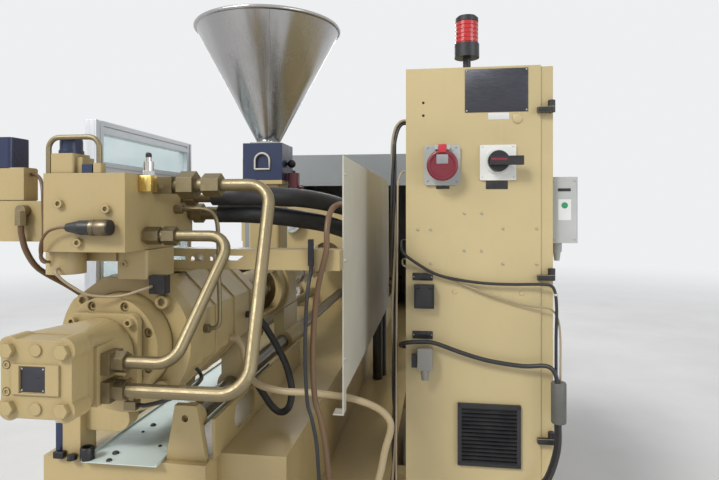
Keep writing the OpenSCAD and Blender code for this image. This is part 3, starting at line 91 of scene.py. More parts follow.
def keep(mesh, name, material, body, angle=35):
    """Makes a smooth-shaded object of a mesh and lets it ride on its body, when it is given one."""
    obj = bpy.data.objects.new(name, mesh)
    bpy.context.scene.collection.objects.link(obj)
    for face in mesh.polygons:
        face.use_smooth = True
    mesh.set_sharp_from_angle(angle=math.radians(angle))
    if material is not None:
        mesh.materials.append(material)
    if body is not None:
        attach(obj, body)
    return obj


def spline(points, steps):
    """A smooth curve through the points, by the same rule as the source."""
    p = [Vector(q) for q in points]

    def at(i):
        return p[max(0, min(len(p) - 1, i))]

    out = []
    for i in range(len(p) - 1):
        a, b, c, d = at(i - 1), at(i), at(i + 1), at(i + 2)
        for j in range(steps):
            t = j / steps
            out.append(0.5 * (2 * b + (c - a) * t + (2 * a - 5 * b + 4 * c - d) * t * t
                              + (3 * b - a - 3 * c + d) * t ** 3))
    out.append(p[-1])
    return out


def tube_mesh(name, path, radius, sides):
    """A closed tube along the path, whose rings turn as little as they can."""
    mesh = bpy.data.meshes.new(name)
    bm = bmesh.new()
    n = len(path)
    tangents = [(path[min(i + 1, n - 1)] - path[max(i - 1, 0)]).normalized() for i in range(n)]
    up = Vector((0, 0, 1)) if abs(tangents[0].z) < 0.9 else Vector((1, 0, 0))
    u = up.cross(tangents[0]).normalized()
    angles = [2 * math.pi * j / sides for j in range(sides)]
    rings = []
    for point, tangent in zip(path, tangents):
        u = (u - tangent * u.dot(tangent)).normalized()
        v = tangent.cross(u)
        rings.append([bm.verts.new(point + (u * math.cos(a) + v * math.sin(a)) * radius) for a in angles])
    for low, high in zip(rings, rings[1:]):
        for j in range(sides):
            k = (j + 1) % sides
            bm.faces.new((low[j], low[k], high[k], high[j]))
    bm.faces.new(list(reversed(rings[0])))
    bm.faces.new(rings[-1])
    bm.normal_update()
    bm.to_mesh(mesh)
    bm.free()
    return mesh


# Cords: the routes repeat the source's points, in metres

ROUTES = {
    "sensor": [(0.08, 0.2552, 1.402), (0.08, 0.249, 1.402), (0.079, 0.241, 1.401),
        (0.066, 0.226, 1.396), (0.042, 0.214, 1.388), (0.012, 0.206, 1.385), (-0.03, 0.188, 1.392),
        (-0.066, 0.172, 1.418), (-0.084, 0.166, 1.438), (-0.0885, 0.1746, 1.445),
        (-0.0909, 0.1839, 1.446)],
    "plug": [(-0.0515, 0.154, 1.534), (-0.057, 0.154, 1.534), (-0.064, 0.154, 1.534),
        (-0.076, 0.153, 1.532), (-0.092, 0.153, 1.526), (-0.106, 0.155, 1.512), (-0.114, 0.158, 1.494),
        (-0.118, 0.165, 1.474), (-0.1154, 0.1751, 1.462), (-0.1126, 0.1843, 1.46)],
    "stack": [(-0.203, 0.213, 1.5355), (-0.203, 0.213, 1.526), (-0.202, 0.214, 1.514),
        (-0.197, 0.222, 1.478), (-0.184, 0.244, 1.438), (-0.168, 0.31, 1.396), (-0.151, 0.343, 1.369),
        (-0.14, 0.345, 1.358), (-0.1301, 0.345, 1.3481)],
    "drain": [(0.0765, 0.205, 1.158), (0.084, 0.205, 1.158), (0.093, 0.206, 1.158),
        (0.118, 0.216, 1.162), (0.143, 0.25, 1.166), (0.152, 0.31, 1.167), (0.147, 0.362, 1.168),
        (0.136, 0.386, 1.172), (0.128, 0.39, 1.18), (0.1206, 0.39, 1.1874)],
    "side": [(-0.2075, 0.25, 1.65), (-0.202, 0.25, 1.65), (-0.194, 0.249, 1.649),
        (-0.175, 0.238, 1.638), (-0.161, 0.226, 1.616), (-0.155, 0.22, 1.58), (-0.152, 0.218, 1.54),
        (-0.153, 0.218, 1.508), (-0.159, 0.22, 1.48), (-0.162, 0.222, 1.468), (-0.159, 0.223, 1.458),
        (-0.151, 0.223, 1.455), (-0.1414, 0.223, 1.455)],
    "hose_a": [(0.1404, 0.452, 1.606), (0.16, 0.452, 1.606), (0.185, 0.453, 1.606),
        (0.215, 0.461, 1.606), (0.265, 0.495, 1.605), (0.325, 0.566, 1.603), (0.378, 0.666, 1.594),
        (0.418, 0.82, 1.577), (0.425, 1, 1.56), (0.425, 1.3, 1.545), (0.425, 1.6, 1.52),
        (0.42, 1.8, 1.47), (0.412, 1.95, 1.37), (0.408, 2.03, 1.22), (0.408, 2.05, 1.05),
        (0.408, 2.05, 0.85), (0.408, 2.05, 0.7005)],
    "hose_b": [(0.1404, 0.496, 1.562), (0.16, 0.496, 1.562), (0.185, 0.497, 1.562),
        (0.215, 0.505, 1.561), (0.265, 0.543, 1.556), (0.322, 0.616, 1.545), (0.378, 0.718, 1.529),
        (0.416, 0.85, 1.505), (0.425, 1.02, 1.488), (0.425, 1.3, 1.478), (0.425, 1.6, 1.45),
        (0.418, 1.79, 1.395), (0.404, 1.9, 1.3), (0.396, 1.96, 1.18), (0.394, 1.975, 1.04),
        (0.394, 1.975, 0.85), (0.394, 1.975, 0.7005)],
    "brown": [(0.4704, 0.47, 1.585), (0.464, 0.47, 1.585), (0.457, 0.468, 1.583), (0.45, 0.46, 1.578),
        (0.445, 0.446, 1.569), (0.442, 0.426, 1.55), (0.441, 0.41, 1.52), (0.441, 0.403, 1.472),
        (0.426, 0.402, 1.408), (0.415, 0.404, 1.344), (0.408, 0.405, 1.227), (0.413, 0.405, 1.122),
        (0.425, 0.405, 1.079), (0.437, 0.405, 1.022), (0.447, 0.41, 0.927), (0.45, 0.43, 0.86),
        (0.45, 0.462, 0.78), (0.45, 0.47, 0.735), (0.45, 0.47, 0.7005)],
    "thin": [(0.402, 0.411, 1.4355), (0.402, 0.411, 1.427), (0.402, 0.409, 1.417), (0.4, 0.394, 1.392),
        (0.397, 0.386, 1.344), (0.394, 0.385, 1.227), (0.399, 0.385, 1.122), (0.41, 0.385, 1.079),
        (0.421, 0.386, 1.022), (0.427, 0.39, 0.927), (0.428, 0.404, 0.86), (0.428, 0.44, 0.775),
        (0.428, 0.448, 0.73), (0.428, 0.448, 0.7005)],
    "cream": [(0.1435, 0.56, 1.222), (0.153, 0.56, 1.222), (0.164, 0.56, 1.219), (0.178, 0.557, 1.2),
        (0.188, 0.552, 1.168), (0.203, 0.543, 1.134), (0.232, 0.527, 1.11), (0.303, 0.508, 1.101),
        (0.384, 0.507, 1.1), (0.483, 0.507, 1.091), (0.549, 0.504, 1.072), (0.58, 0.5, 1.048),
        (0.586, 0.5, 1.019), (0.572, 0.5, 0.968), (0.559, 0.5, 0.905), (0.53, 0.5, 0.805),
        (0.52, 0.5, 0.745), (0.52, 0.5, 0.7005)],
    "loop": [(0.1436, 0.69, 1.262), (0.151, 0.69, 1.262), (0.1585, 0.69, 1.262), (0.168, 0.69, 1.26),
        (0.184, 0.689, 1.249), (0.204, 0.685, 1.226), (0.23, 0.676, 1.192), (0.256, 0.666, 1.154),
        (0.276, 0.66, 1.115), (0.29, 0.654, 1.06), (0.284, 0.652, 1.012), (0.262, 0.655, 0.992),
        (0.236, 0.66, 1), (0.205, 0.672, 1.03), (0.172, 0.684, 1.068), (0.152, 0.686, 1.086),
        (0.1386, 0.687, 1.092)],
    "upper": [(0.6054, 0.872, 1.474), (0.6, 0.872, 1.474), (0.5946, 0.871, 1.4735),
        (0.5915, 0.864, 1.4715), (0.5905, 0.85, 1.466), (0.594, 0.812, 1.45), (0.612, 0.796, 1.428),
        (0.69, 0.799, 1.38), (0.76, 0.8, 1.362), (0.84, 0.801, 1.352), (0.92, 0.801, 1.35),
        (0.992, 0.798, 1.352), (1.028, 0.791, 1.35), (1.04, 0.787, 1.33), (1.044, 0.785, 1.28),
        (1.042, 0.784, 1.2), (1.042, 0.784, 1.08), (1.041, 0.783, 0.96), (1.039, 0.783, 0.88),
        (1.012, 0.781, 0.795), (0.966, 0.784, 0.735), (0.944, 0.79, 0.6), (0.934, 0.795, 0.35),
        (0.933, 0.796, 0.26), (0.931, 0.797, 0.236), (0.93, 0.801, 0.214), (0.93, 0.808, 0.203),
        (0.93, 0.8135, 0.2005), (0.93, 0.8185, 0.2)],
    "fine": [(0.6054, 0.862, 1.416), (0.601, 0.862, 1.416), (0.597, 0.8615, 1.4158),
        (0.5945, 0.857, 1.4145), (0.594, 0.842, 1.41), (0.598, 0.814, 1.402), (0.614, 0.808, 1.396),
        (0.69, 0.808, 1.376), (0.77, 0.808, 1.35), (0.85, 0.808, 1.318), (0.95, 0.806, 1.29),
        (1.012, 0.798, 1.284), (1.034, 0.797, 1.277), (1.049, 0.793, 1.252), (1.054, 0.784, 1.2),
        (1.054, 0.783, 1.08), (1.054, 0.782, 0.96), (1.052, 0.782, 0.88), (1.026, 0.78, 0.8),
        (0.986, 0.782, 0.738), (0.974, 0.789, 0.6), (0.97, 0.795, 0.35), (0.973, 0.796, 0.26),
        (0.971, 0.797, 0.236), (0.97, 0.801, 0.214), (0.97, 0.808, 0.203), (0.97, 0.8135, 0.2005),
        (0.97, 0.8185, 0.2)],
    "lower": [(0.6054, 0.872, 1.14), (0.6, 0.872, 1.14), (0.5946, 0.8715, 1.1402), (0.59, 0.866, 1.142),
        (0.5885, 0.855, 1.146), (0.589, 0.84, 1.15), (0.592, 0.812, 1.16), (0.608, 0.794, 1.169),
        (0.64, 0.787, 1.174), (0.69, 0.788, 1.173), (0.77, 0.792, 1.146), (0.85, 0.794, 1.124),
        (0.95, 0.792, 1.112), (1.014, 0.78, 1.118), (1.037, 0.768, 1.098), (1.045, 0.765, 1.04),
        (1.047, 0.765, 0.96), (1.045, 0.766, 0.88), (1.02, 0.767, 0.797), (0.978, 0.772, 0.735),
        (0.96, 0.776, 0.6), (0.952, 0.784, 0.35), (0.953, 0.796, 0.26), (0.951, 0.797, 0.236),
        (0.95, 0.801, 0.214), (0.95, 0.808, 0.203), (0.95, 0.8135, 0.2005), (0.95, 0.8185, 0.2)],
    "black": [(0.6054, 0.85, 1.845), (0.597, 0.85, 1.8445), (0.588, 0.849, 1.84),
        (0.578, 0.8465, 1.826), (0.571, 0.8435, 1.8), (0.567, 0.841, 1.76), (0.566, 0.84, 1.7),
        (0.566, 0.84, 1.5), (0.568, 0.84, 1.3), (0.57, 0.841, 1.1), (0.57, 0.842, 0.9),
        (0.568, 0.842, 0.7), (0.566, 0.842, 0.5), (0.566, 0.841, 0.42), (0.567, 0.842, 0.38),
        (0.571, 0.844, 0.345), (0.578, 0.847, 0.32), (0.588, 0.8495, 0.306), (0.597, 0.85, 0.302),
        (0.6054, 0.85, 0.3015)],
    "white": [(0.6054, 0.838, 1.69), (0.6, 0.838, 1.69), (0.594, 0.837, 1.688), (0.587, 0.833, 1.676),
        (0.581, 0.828, 1.65), (0.58, 0.826, 1.61), (0.579, 0.825, 1.45), (0.577, 0.825, 1.25),
        (0.576, 0.825, 1), (0.576, 0.825, 0.7), (0.576, 0.825, 0.5), (0.58, 0.828, 0.45),
        (0.587, 0.833, 0.424), (0.594, 0.837, 0.412), (0.6, 0.838, 0.41), (0.6054, 0.838, 0.41)],
}

# name: diameter, steps between points, stiffness, look, node it stands for, and where its bend from the carriage
# to the bed begins and ends, or None where it goes with one body
CORDS = {
    "sensor": (0.006, 4, "medium", "cord_beige", "unit_cables", None),
    "plug": (0.006, 4, "medium", "cord_brown", "unit_cables", None),
    "stack": (0.013, 4, "medium", "cord_brown", "unit_cables", None),
    "drain": (0.009, 4, "medium", "cord_black", "unit_cables", None),
    "side": (0.008, 4, "medium", "cord_brown", "unit_cables", None),
    "loop": (0.020, 5, "medium", "cord_black", "unit_cables", None),
    "hose_a": (0.050, 6, "stiff", "hose", "carriage_hoses", ((0, 0, 1.50), (0, 0, 1.00))),
    "hose_b": (0.050, 6, "stiff", "hose", "carriage_hoses", ((0, 0, 1.44), (0, 0, 0.98))),
    "brown": (0.014, 5, "medium", "cord_brown", "carriage_hoses", ((0, 0, 1.50), (0, 0, 0.98))),
    "thin": (0.009, 5, "medium", "cord_black", "carriage_hoses", ((0, 0, 1.41), (0, 0, 0.98))),
    "cream": (0.018, 5, "medium", "cord_cream", "carriage_hoses", ((0.20, 0, 0), (0.55, 0, 0))),
    "upper": (0.009, 4, "medium", "cord_black", "cabinet_cables", None),
    "fine": (0.006, 4, "medium", "cord_beige", "cabinet_cables", None),
    "lower": (0.013, 4, "medium", "cord_black", "cabinet_cables", None),
    "black": (0.020, 5, "medium", "cord_black", "cabinet_cables", None),
    "white": (0.006, 5, "medium", "cord_beige", "cabinet_cables", None),
}
CORD_SIDES = 14
# The cord drawn as a bundle, and the looks of its strands
BUNDLE = "black"
STRAND_LOOKS = ("cord_black", "cord_beige", "cord_black")
# A strand's radius as a share of the bundle's diameter, and the length of one turn in metres
STRAND_SHARE = 0.21
STRAND_TURN = 0.55
STRAND_SIDES = 10


def bundle_mesh(name, path, diameter):
    """Thin cables that wind slowly round each other inside the bundle's diameter."""
    strand = diameter * STRAND_SHARE
    merged = bmesh.new()
    for k in range(len(STRAND_LOOKS)):
        run, line = 0.0, []
        for i, q in enumerate(path):
            if i:
                run += (q - path[i - 1]).length
            along = (path[min(i + 1, len(path) - 1)] - path[max(i - 1, 0)]).normalized()
            side = along.cross(Vector((0, 1, 0))).normalized()
            a = 2 * math.pi * (k / len(STRAND_LOOKS) + run / STRAND_TURN)
            line.append(q + (side * math.cos(a) + along.cross(side) * math.sin(a)) * (diameter / 2 - strand))
        mesh = tube_mesh(name, line, strand, STRAND_SIDES)
        first = len(merged.faces)
        merged.from_mesh(mesh)
        merged.faces.ensure_lookup_table()
        for face in merged.faces[first:]:
            face.material_index = k
        bpy.data.meshes.remove(mesh)
    mesh = bpy.data.meshes.new(name)
    merged.to_mesh(mesh)
    merged.free()
    return mesh


def lay_cord(name):
    """Lays one cord along its route in place of the source's stand-in; its look comes with the materials."""
    diameter, steps, stiffness, _, node, bend = CORDS[name]
    path = [q + SHIFT for q in spline(ROUTES[name], steps)]
    if name == BUNDLE:
        mesh = bundle_mesh(name + "_cord", path, diameter)
    else:
        mesh = tube_mesh(name + "_cord", path, diameter / 2, CORD_SIDES)
    body = "carriage" if node == "unit_cables" else "root"
    obj = keep(mesh, name + "_cord", None, None if bend else body, angle=60)
    if bend:
        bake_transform(obj)
    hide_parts(node)
    return obj


cords = {name: lay_cord(name) for name in CORDS}


# Materials: each is built from nodes on object coordinates, which are metres in the row frame


class Nodes:
    """Short names for adding and joining shader nodes."""

    def __init__(self, name):
        self.material = bpy.data.materials.new(name)
        self.material.use_nodes = True
        self.tree = self.material.node_tree
        self.shader = self.tree.nodes["Principled BSDF"]
        self.coords = self.add("ShaderNodeTexCoord").outputs["Object"]

    def add(self, kind, **values):
        """Adds a node; each value is a property of the node or else one of its inputs."""
        node = self.tree.nodes.new(kind)
        for key, value in values.items():
            if hasattr(node, key):
                setattr(node, key, value)
            else:
                node.inputs[key.replace("_", " ")].default_value = value
        return node

    def link(self, a, b):
        self.tree.links.new(a, b)

    def feed(self, socket, value):
        """Links an output to the socket, or sets the socket to a colour or a number."""
        if hasattr(value, "is_linked"):
            self.link(value, socket)
        else:
            socket.default_value = (*value, 1) if isinstance(value, tuple) else value

    def noise(self, scale, detail=4.0, roughness=0.55, vector=None, distortion=0.0):
        node = self.add("ShaderNodeTexNoise", Scale=scale, Detail=detail, Roughness=roughness,
                        Distortion=distortion)
        self.link(vector or self.coords, node.inputs["Vector"])
        return node.outputs["Fac"]

    def stretch(self, factors):
        node = self.add("ShaderNodeMapping", Scale=factors)
        self.link(self.coords, node.inputs["Vector"])
        return node.outputs["Vector"]

    def ramp(self, fac, stops, smooth=False):
        """Turns a number into a colour or a grey, by stops of (place, value)."""
        node = self.add("ShaderNodeValToRGB")
        if smooth:
            node.color_ramp.interpolation = "EASE"
        elements = node.color_ramp.elements
        while len(elements) < len(stops):
            elements.new(0.5)
        for element, (place, colour) in zip(elements, stops):
            element.position = place
            element.color = (*colour, 1) if isinstance(colour, tuple) else (colour, colour, colour, 1)
        self.link(fac, node.inputs["Fac"])
        return node.outputs["Color"]

    def mix(self, fac, a, b):
        node = self.add("ShaderNodeMix", data_type="RGBA")
        for index, value in ((0, fac), (6, a), (7, b)):
            self.feed(node.inputs[index], value)
        return node.outputs[2]

    def maths(self, op, a, b):
        node = self.add("ShaderNodeMath", operation=op)
        self.feed(node.inputs[0], a)
        self.feed(node.inputs[1], b)
        return node.outputs[0]

    def bevel(self, radius):
        """A normal that rounds the edges, or None for a radius of 0."""
        return self.add("ShaderNodeBevel", samples=4, Radius=radius).outputs["Normal"] if radius else None

    def bump(self, height, strength, distance, normal=None):
        node = self.add("ShaderNodeBump", Strength=strength, Distance=distance)
        self.link(height, node.inputs["Height"])
        if normal is not None:
            self.link(normal, node.inputs["Normal"])
        return node.outputs["Normal"]

    def finish(self, colour, rough, normal, **constants):
        """Feeds the shader and hands back the material."""
        self.feed(self.shader.inputs["Base Color"], colour)
        self.feed(self.shader.inputs["Roughness"], rough)
        self.link(normal, self.shader.inputs["Normal"])
        for key, value in constants.items():
            self.shader.inputs[key.replace("_", " ")].default_value = value
        return self.material


def tint(colour, *factors):
    """The colour times one factor, or times one factor for each channel."""
    return tuple(c * f for c, f in zip(colour, factors if len(factors) == 3 else factors * 3))


def paint(name, colour, rough, cast=0.0, grime_and_shade=0.5, edge=0.0015, coat=0.15):
    """Enamel: slow colour drift, orange peel, a lumpy cast skin underneath, stains and specks, and painted shade
    in the corners.
    """
    n = Nodes(name)
    drift = n.ramp(n.noise(2.3, 5), [(0.3, tint(colour, 0.90)), (0.7, tint(colour, 1.05))])
    speck = n.ramp(n.noise(140, 3, 0.7), [(0.66, 0.0), (0.74, 1.0)])
    worn = n.mix(n.maths("MULTIPLY", speck, 0.28 * grime_and_shade), drift, tint(colour, 0.45))
    streaks = n.ramp(n.noise(1.0, 5, 0.6, n.stretch((26, 26, 3.2))), [(0.52, 0.0), (0.78, 1.0)])
    blotch = n.ramp(n.noise(9, 6, 0.65), [(0.50, 0.0), (0.75, 1.0)])
    stain = n.maths("MULTIPLY", n.maths("MULTIPLY", streaks, blotch), 0.75 * grime_and_shade)
    stained = n.mix(stain, worn, tint(colour, 0.50, 0.43, 0.33))
    # Painted shade: ambient occlusion darkens the paint towards a dark brown in corners and recesses, by the same
    # factor as the stains
    shade = n.add("ShaderNodeAmbientOcclusion", samples=4, Distance=0.03)
    corner = n.ramp(shade.outputs["AO"], [(0.30, 1.0), (0.85, 0.0)])
    full = n.mix(n.maths("MULTIPLY", corner, 0.55 * grime_and_shade), stained, tint(colour, 0.35, 0.30, 0.22))
    sheen = n.ramp(n.noise(7, 5), [(0.3, rough - 0.06), (0.7, rough + 0.12)])
    height = n.noise(420, 2)
    strength, distance = 0.10, 0.0006
    if cast:
        lumps = n.maths("MULTIPLY", n.noise(75, 5, 0.6), cast)
        height = n.maths("ADD", n.maths("MULTIPLY", height, 0.35), lumps)
        strength, distance = 0.22, 0.0016
    normal = n.bump(height, strength, distance, n.bevel(edge))
    return n.finish(full, sheen, normal, Coat_Weight=coat, Coat_Roughness=0.25)


def metal(name, colour, rough, brush, stain=0.25, edge=0.0008):
    """Turned or brushed metal: fine lines along one direction, cloudy stains and uneven gloss."""
    n = Nodes(name)
    cloud = n.ramp(n.noise(12, 6, 0.6), [(0.35, 0.0), (0.75, 1.0)])
    base = n.mix(n.maths("MULTIPLY", cloud, stain), colour, tint(colour, 0.55))
    lines = n.noise(1.0, 3, 0.6, n.stretch(brush))
    toned = n.mix(n.ramp(lines, [(0.35, 0.0), (0.65, 1.0)]), tint(colour, 0.86), tint(colour, 1.08))
    gloss = n.ramp(lines, [(0.3, rough - 0.08), (0.7, rough + 0.10)])
    normal = n.bump(lines, 0.12, 0.0004, n.bevel(edge))
    return n.finish(n.mix(0.45, base, toned), gloss, normal, Metallic=1.0)


def plastic(name, colour, rough, dust=0.35, edge=0.0008, coat=0.0):
    """Moulded plastic with a fine grain and a haze of dust."""
    n = Nodes(name)
    haze = n.ramp(n.noise(24, 6, 0.65), [(0.45, 0.0), (0.80, 1.0)])
    drift = n.ramp(n.noise(5, 3), [(0.3, tint(colour, 0.88)), (0.7, tint(colour, 1.1))])
    full = n.mix(n.maths("MULTIPLY", haze, dust), drift, tuple(0.75 * c + 0.10 for c in colour))
    gloss = n.ramp(n.noise(30, 4), [(0.3, rough - 0.07), (0.7, rough + 0.10)])
    normal = n.bump(n.noise(900, 2), 0.12, 0.0004, n.bevel(edge))
    return n.finish(full, gloss, normal, Coat_Weight=coat)


def cord_look(name, colour, rough, braid=0.0):
    """Rubber or plastic sheath with some dust, with a slanting weave where it is braided."""
    n = Nodes(name)
    dust = n.ramp(n.noise(35, 5, 0.65), [(0.45, 0.0), (0.8, 1.0)])
    drift = n.ramp(n.noise(6, 3), [(0.3, tint(colour, 0.85)), (0.7, tint(colour, 1.12))])
    full = n.mix(n.maths("MULTIPLY", dust, 0.30), drift, tuple(0.7 * c + 0.04 for c in colour))
    height = n.noise(700, 2)
    if braid:
        wave = n.add("ShaderNodeTexWave", wave_type="BANDS", bands_direction="DIAGONAL", Scale=braid,
                     Distortion=1.5)
        n.link(n.coords, wave.inputs["Vector"])
        height = n.maths("ADD", height, n.maths("MULTIPLY", wave.outputs["Fac"], 1.2))
    return n.finish(full, rough, n.bump(height, 0.25 if braid else 0.12, 0.0006))


def hopper_look(name):
    """Rolled sheet steel, brushed down the cone, with cloudy smears."""
    n = Nodes(name)
    centre = row((0, HOPPER_Y, 0))
    shift = n.add("ShaderNodeMapping", Location=(-centre.x, -centre.y, 0))
    n.link(n.coords, shift.inputs["Vector"])
    split = n.add("ShaderNodeSeparateXYZ")
    n.link(shift.outputs["Vector"], split.inputs[0])
    turn = n.maths("ARCTAN2", split.outputs["Y"], split.outputs["X"])
    ring = n.add("ShaderNodeCombineXYZ")
    n.link(n.maths("MULTIPLY", turn, 90), ring.inputs[0])
    n.link(n.maths("MULTIPLY", split.outputs["Z"], 2.2), ring.inputs[1])
    lines = n.noise(1.0, 4, 0.6, ring.outputs[0])
    smear = n.ramp(n.noise(5.5, 6, 0.6, distortion=0.4), [(0.36, 0.0), (0.72, 1.0)])
    base = n.mix(n.maths("MULTIPLY", smear, 0.40), (0.43, 0.425, 0.425), (0.25, 0.245, 0.245))
    brushed = n.maths("MULTIPLY", n.ramp(lines, [(0.35, 0.0), (0.65, 1.0)]), 0.35)
    gloss = n.ramp(n.mix(0.5, lines, smear), [(0.3, 0.20), (0.7, 0.34)])
    full = n.mix(brushed, base, (0.54, 0.53, 0.52))
    return n.finish(full, gloss, n.bump(lines, 0.10, 0.0004), Metallic=1.0)


def pane_look(name):
    """Clear sheet with a green cast and faint smears."""
    n = Nodes(name)
    smear = n.ramp(n.noise(8, 5), [(0.4, (0.62, 0.86, 0.88)), (0.7, (0.72, 0.92, 0.94))])
    gloss = n.ramp(n.noise(14, 5), [(0.35, 0.04), (0.75, 0.16)])
    return n.finish(smear, gloss, n.bump(n.noise(3, 2), 0.05, 0.002), Transmission_Weight=0.85, IOR=1.2,
                    Alpha=0.55)


# name: colour, roughness and what differs from the maker's defaults
# The grime value sets both the stains and the painted shade in the corners
PAINTS = {
    "cast_paint": ((0.470, 0.362, 0.172), 0.36, dict(cast=1.0, grime_and_shade=0.9, edge=0.0025)),
    "sheet_paint": ((0.540, 0.438, 0.232), 0.34, dict(grime_and_shade=0.35)),
    "guard_paint": ((0.27, 0.29, 0.30), 0.42, dict(grime_and_shade=0.4)),
    "panel_paint": ((0.56, 0.545, 0.465), 0.45, dict(grime_and_shade=0.35, edge=0)),
    "navy_paint": ((0.013, 0.024, 0.074), 0.30, dict(cast=0.3, grime_and_shade=0.3)),
    "maroon_paint": ((0.10, 0.012, 0.022), 0.32, dict(cast=0.5, grime_and_shade=0.4)),
    "white_plate": ((0.62, 0.72, 0.70), 0.5, dict(grime_and_shade=0.8, edge=0)),
    "cast_iron": ((0.06, 0.06, 0.063), 0.55, dict(cast=1.2, grime_and_shade=0.4, coat=0)),
}
# brush scales the noise along each axis, so that lines run along the axis with the small number
METALS = {
    "ground_steel": ((0.60, 0.59, 0.56), 0.24, dict(brush=(14, 320, 14))),
    # The guide rods' steel is ground steel made darker because the rods stand in shade: painted shade, with cloudy
    # stains on top
    "rod_steel": ((0.30, 0.29, 0.265), 0.34, dict(brush=(14, 320, 14), stain=0.5)),
    "zinc": ((0.275, 0.228, 0.138), 0.47, dict(brush=(120, 120, 120), stain=0.5)),
    "aluminium": ((0.62, 0.64, 0.66), 0.36, dict(brush=(200, 200, 8), stain=0.15)),
    "plate_dark": ((0.085, 0.085, 0.10), 0.34, dict(brush=(40, 40, 400), stain=0.4, edge=0)),
    "screw_zinc": ((0.55, 0.52, 0.44), 0.34, dict(brush=(300, 300, 300), stain=0.5)),
    "screw_black": ((0.06, 0.06, 0.062), 0.40, dict(brush=(300, 300, 300), stain=0.3)),
    "bronze": ((0.19, 0.15, 0.10), 0.36, dict(brush=(300, 60, 60), stain=0.4)),
    "brass_bright": ((0.78, 0.58, 0.20), 0.30, dict(brush=(200, 200, 60))),
}
PLASTICS = {
    "black_plastic": ((0.014, 0.014, 0.016), 0.42, dict(dust=0.14)),
    "grey_plastic": ((0.42, 0.43, 0.42), 0.48, {}),
    # The hood's grey is a darker, warmer copy of the grey plastic because the connector hood stands in shade:
    # painted shade
    "hood_grey": ((0.23, 0.225, 0.20), 0.48, {}),
    "white_plastic": ((0.72, 0.72, 0.69), 0.40, dict(dust=0.15)),
    "red_plastic": ((0.185, 0.007, 0.020), 0.33, dict(dust=0.12, coat=0.3)),
    "red_lens": ((0.50, 0.010, 0.012), 0.16, dict(dust=0.1, coat=0.5)),
    "red_bright": ((0.50, 0.018, 0.034), 0.36, dict(dust=0.12, coat=0.3)),
    "stripe_red": ((0.20, 0.012, 0.030), 0.40, dict(dust=0.12)),
    "label_black": ((0.016, 0.016, 0.018), 0.34, dict(dust=0.25, edge=0)),
    "shadow": ((0.006, 0.006, 0.006), 0.7, dict(dust=0.1, edge=0)),
    "sticker_white": ((0.66, 0.67, 0.66), 0.45, dict(dust=0.3, edge=0)),
    "green_dot": ((0.02, 0.26, 0.10), 0.45, dict(dust=0.2, edge=0)),
    "patch_grey": ((0.30, 0.31, 0.32), 0.45, dict(dust=0.3, edge=0)),
    "sleeve_grey": ((0.115, 0.115, 0.105), 0.50, dict(dust=0.3)),
    "tie_white": ((0.62, 0.63, 0.60), 0.42, dict(dust=0.2)),
}
SHEATHS = {
    "hose_rubber": ((0.016, 0.016, 0.017), 0.5, {}),
    "hose": ((0.016, 0.016, 0.018), 0.50, dict(braid=60)),
    "cord_black": ((0.020, 0.020, 0.021), 0.45, {}),
    "cord_brown": ((0.150, 0.085, 0.040), 0.42, {}),
    "cord_cream": ((0.420, 0.330, 0.190), 0.40, {}),
    "cord_beige": ((0.360, 0.290, 0.190), 0.45, {}),
}
LOOKS = {name: look(name) for name, look in (("hopper_steel", hopper_look), ("clear_pane", pane_look))}
for maker, table in ((paint, PAINTS), (metal, METALS), (plastic, PLASTICS), (cord_look, SHEATHS)):
    for name, (colour, rough, own) in table.items():
        LOOKS[name] = maker(name, colour, rough, **own)

# Every CAD piece takes the look of its slot, apart from these, whose darker looks are painted shade
OWN_LOOKS = {"guide_rods": "rod_steel", "hood_connector": "hood_grey"}
slot_of = {s["node"]: s["material_slot"] for s in frame["record"]["subparts"]}
for node, obj in frame["nodes"].items():
    look = LOOKS[OWN_LOOKS.get(node, slot_of[node])]
    for slot in obj.material_slots:
        slot.material = look
    if not obj.material_slots:
        obj.data.materials.append(look)
for name, obj in cords.items():
    for look in STRAND_LOOKS if name == BUNDLE else (CORDS[name][3],):
        obj.data.materials.append(LOOKS[look])


# Detail pieces

AXES = {"x": Vector((1, 0, 0)), "-y": Vector((0, -1, 0)), "z": Vector((0, 0, 1))}


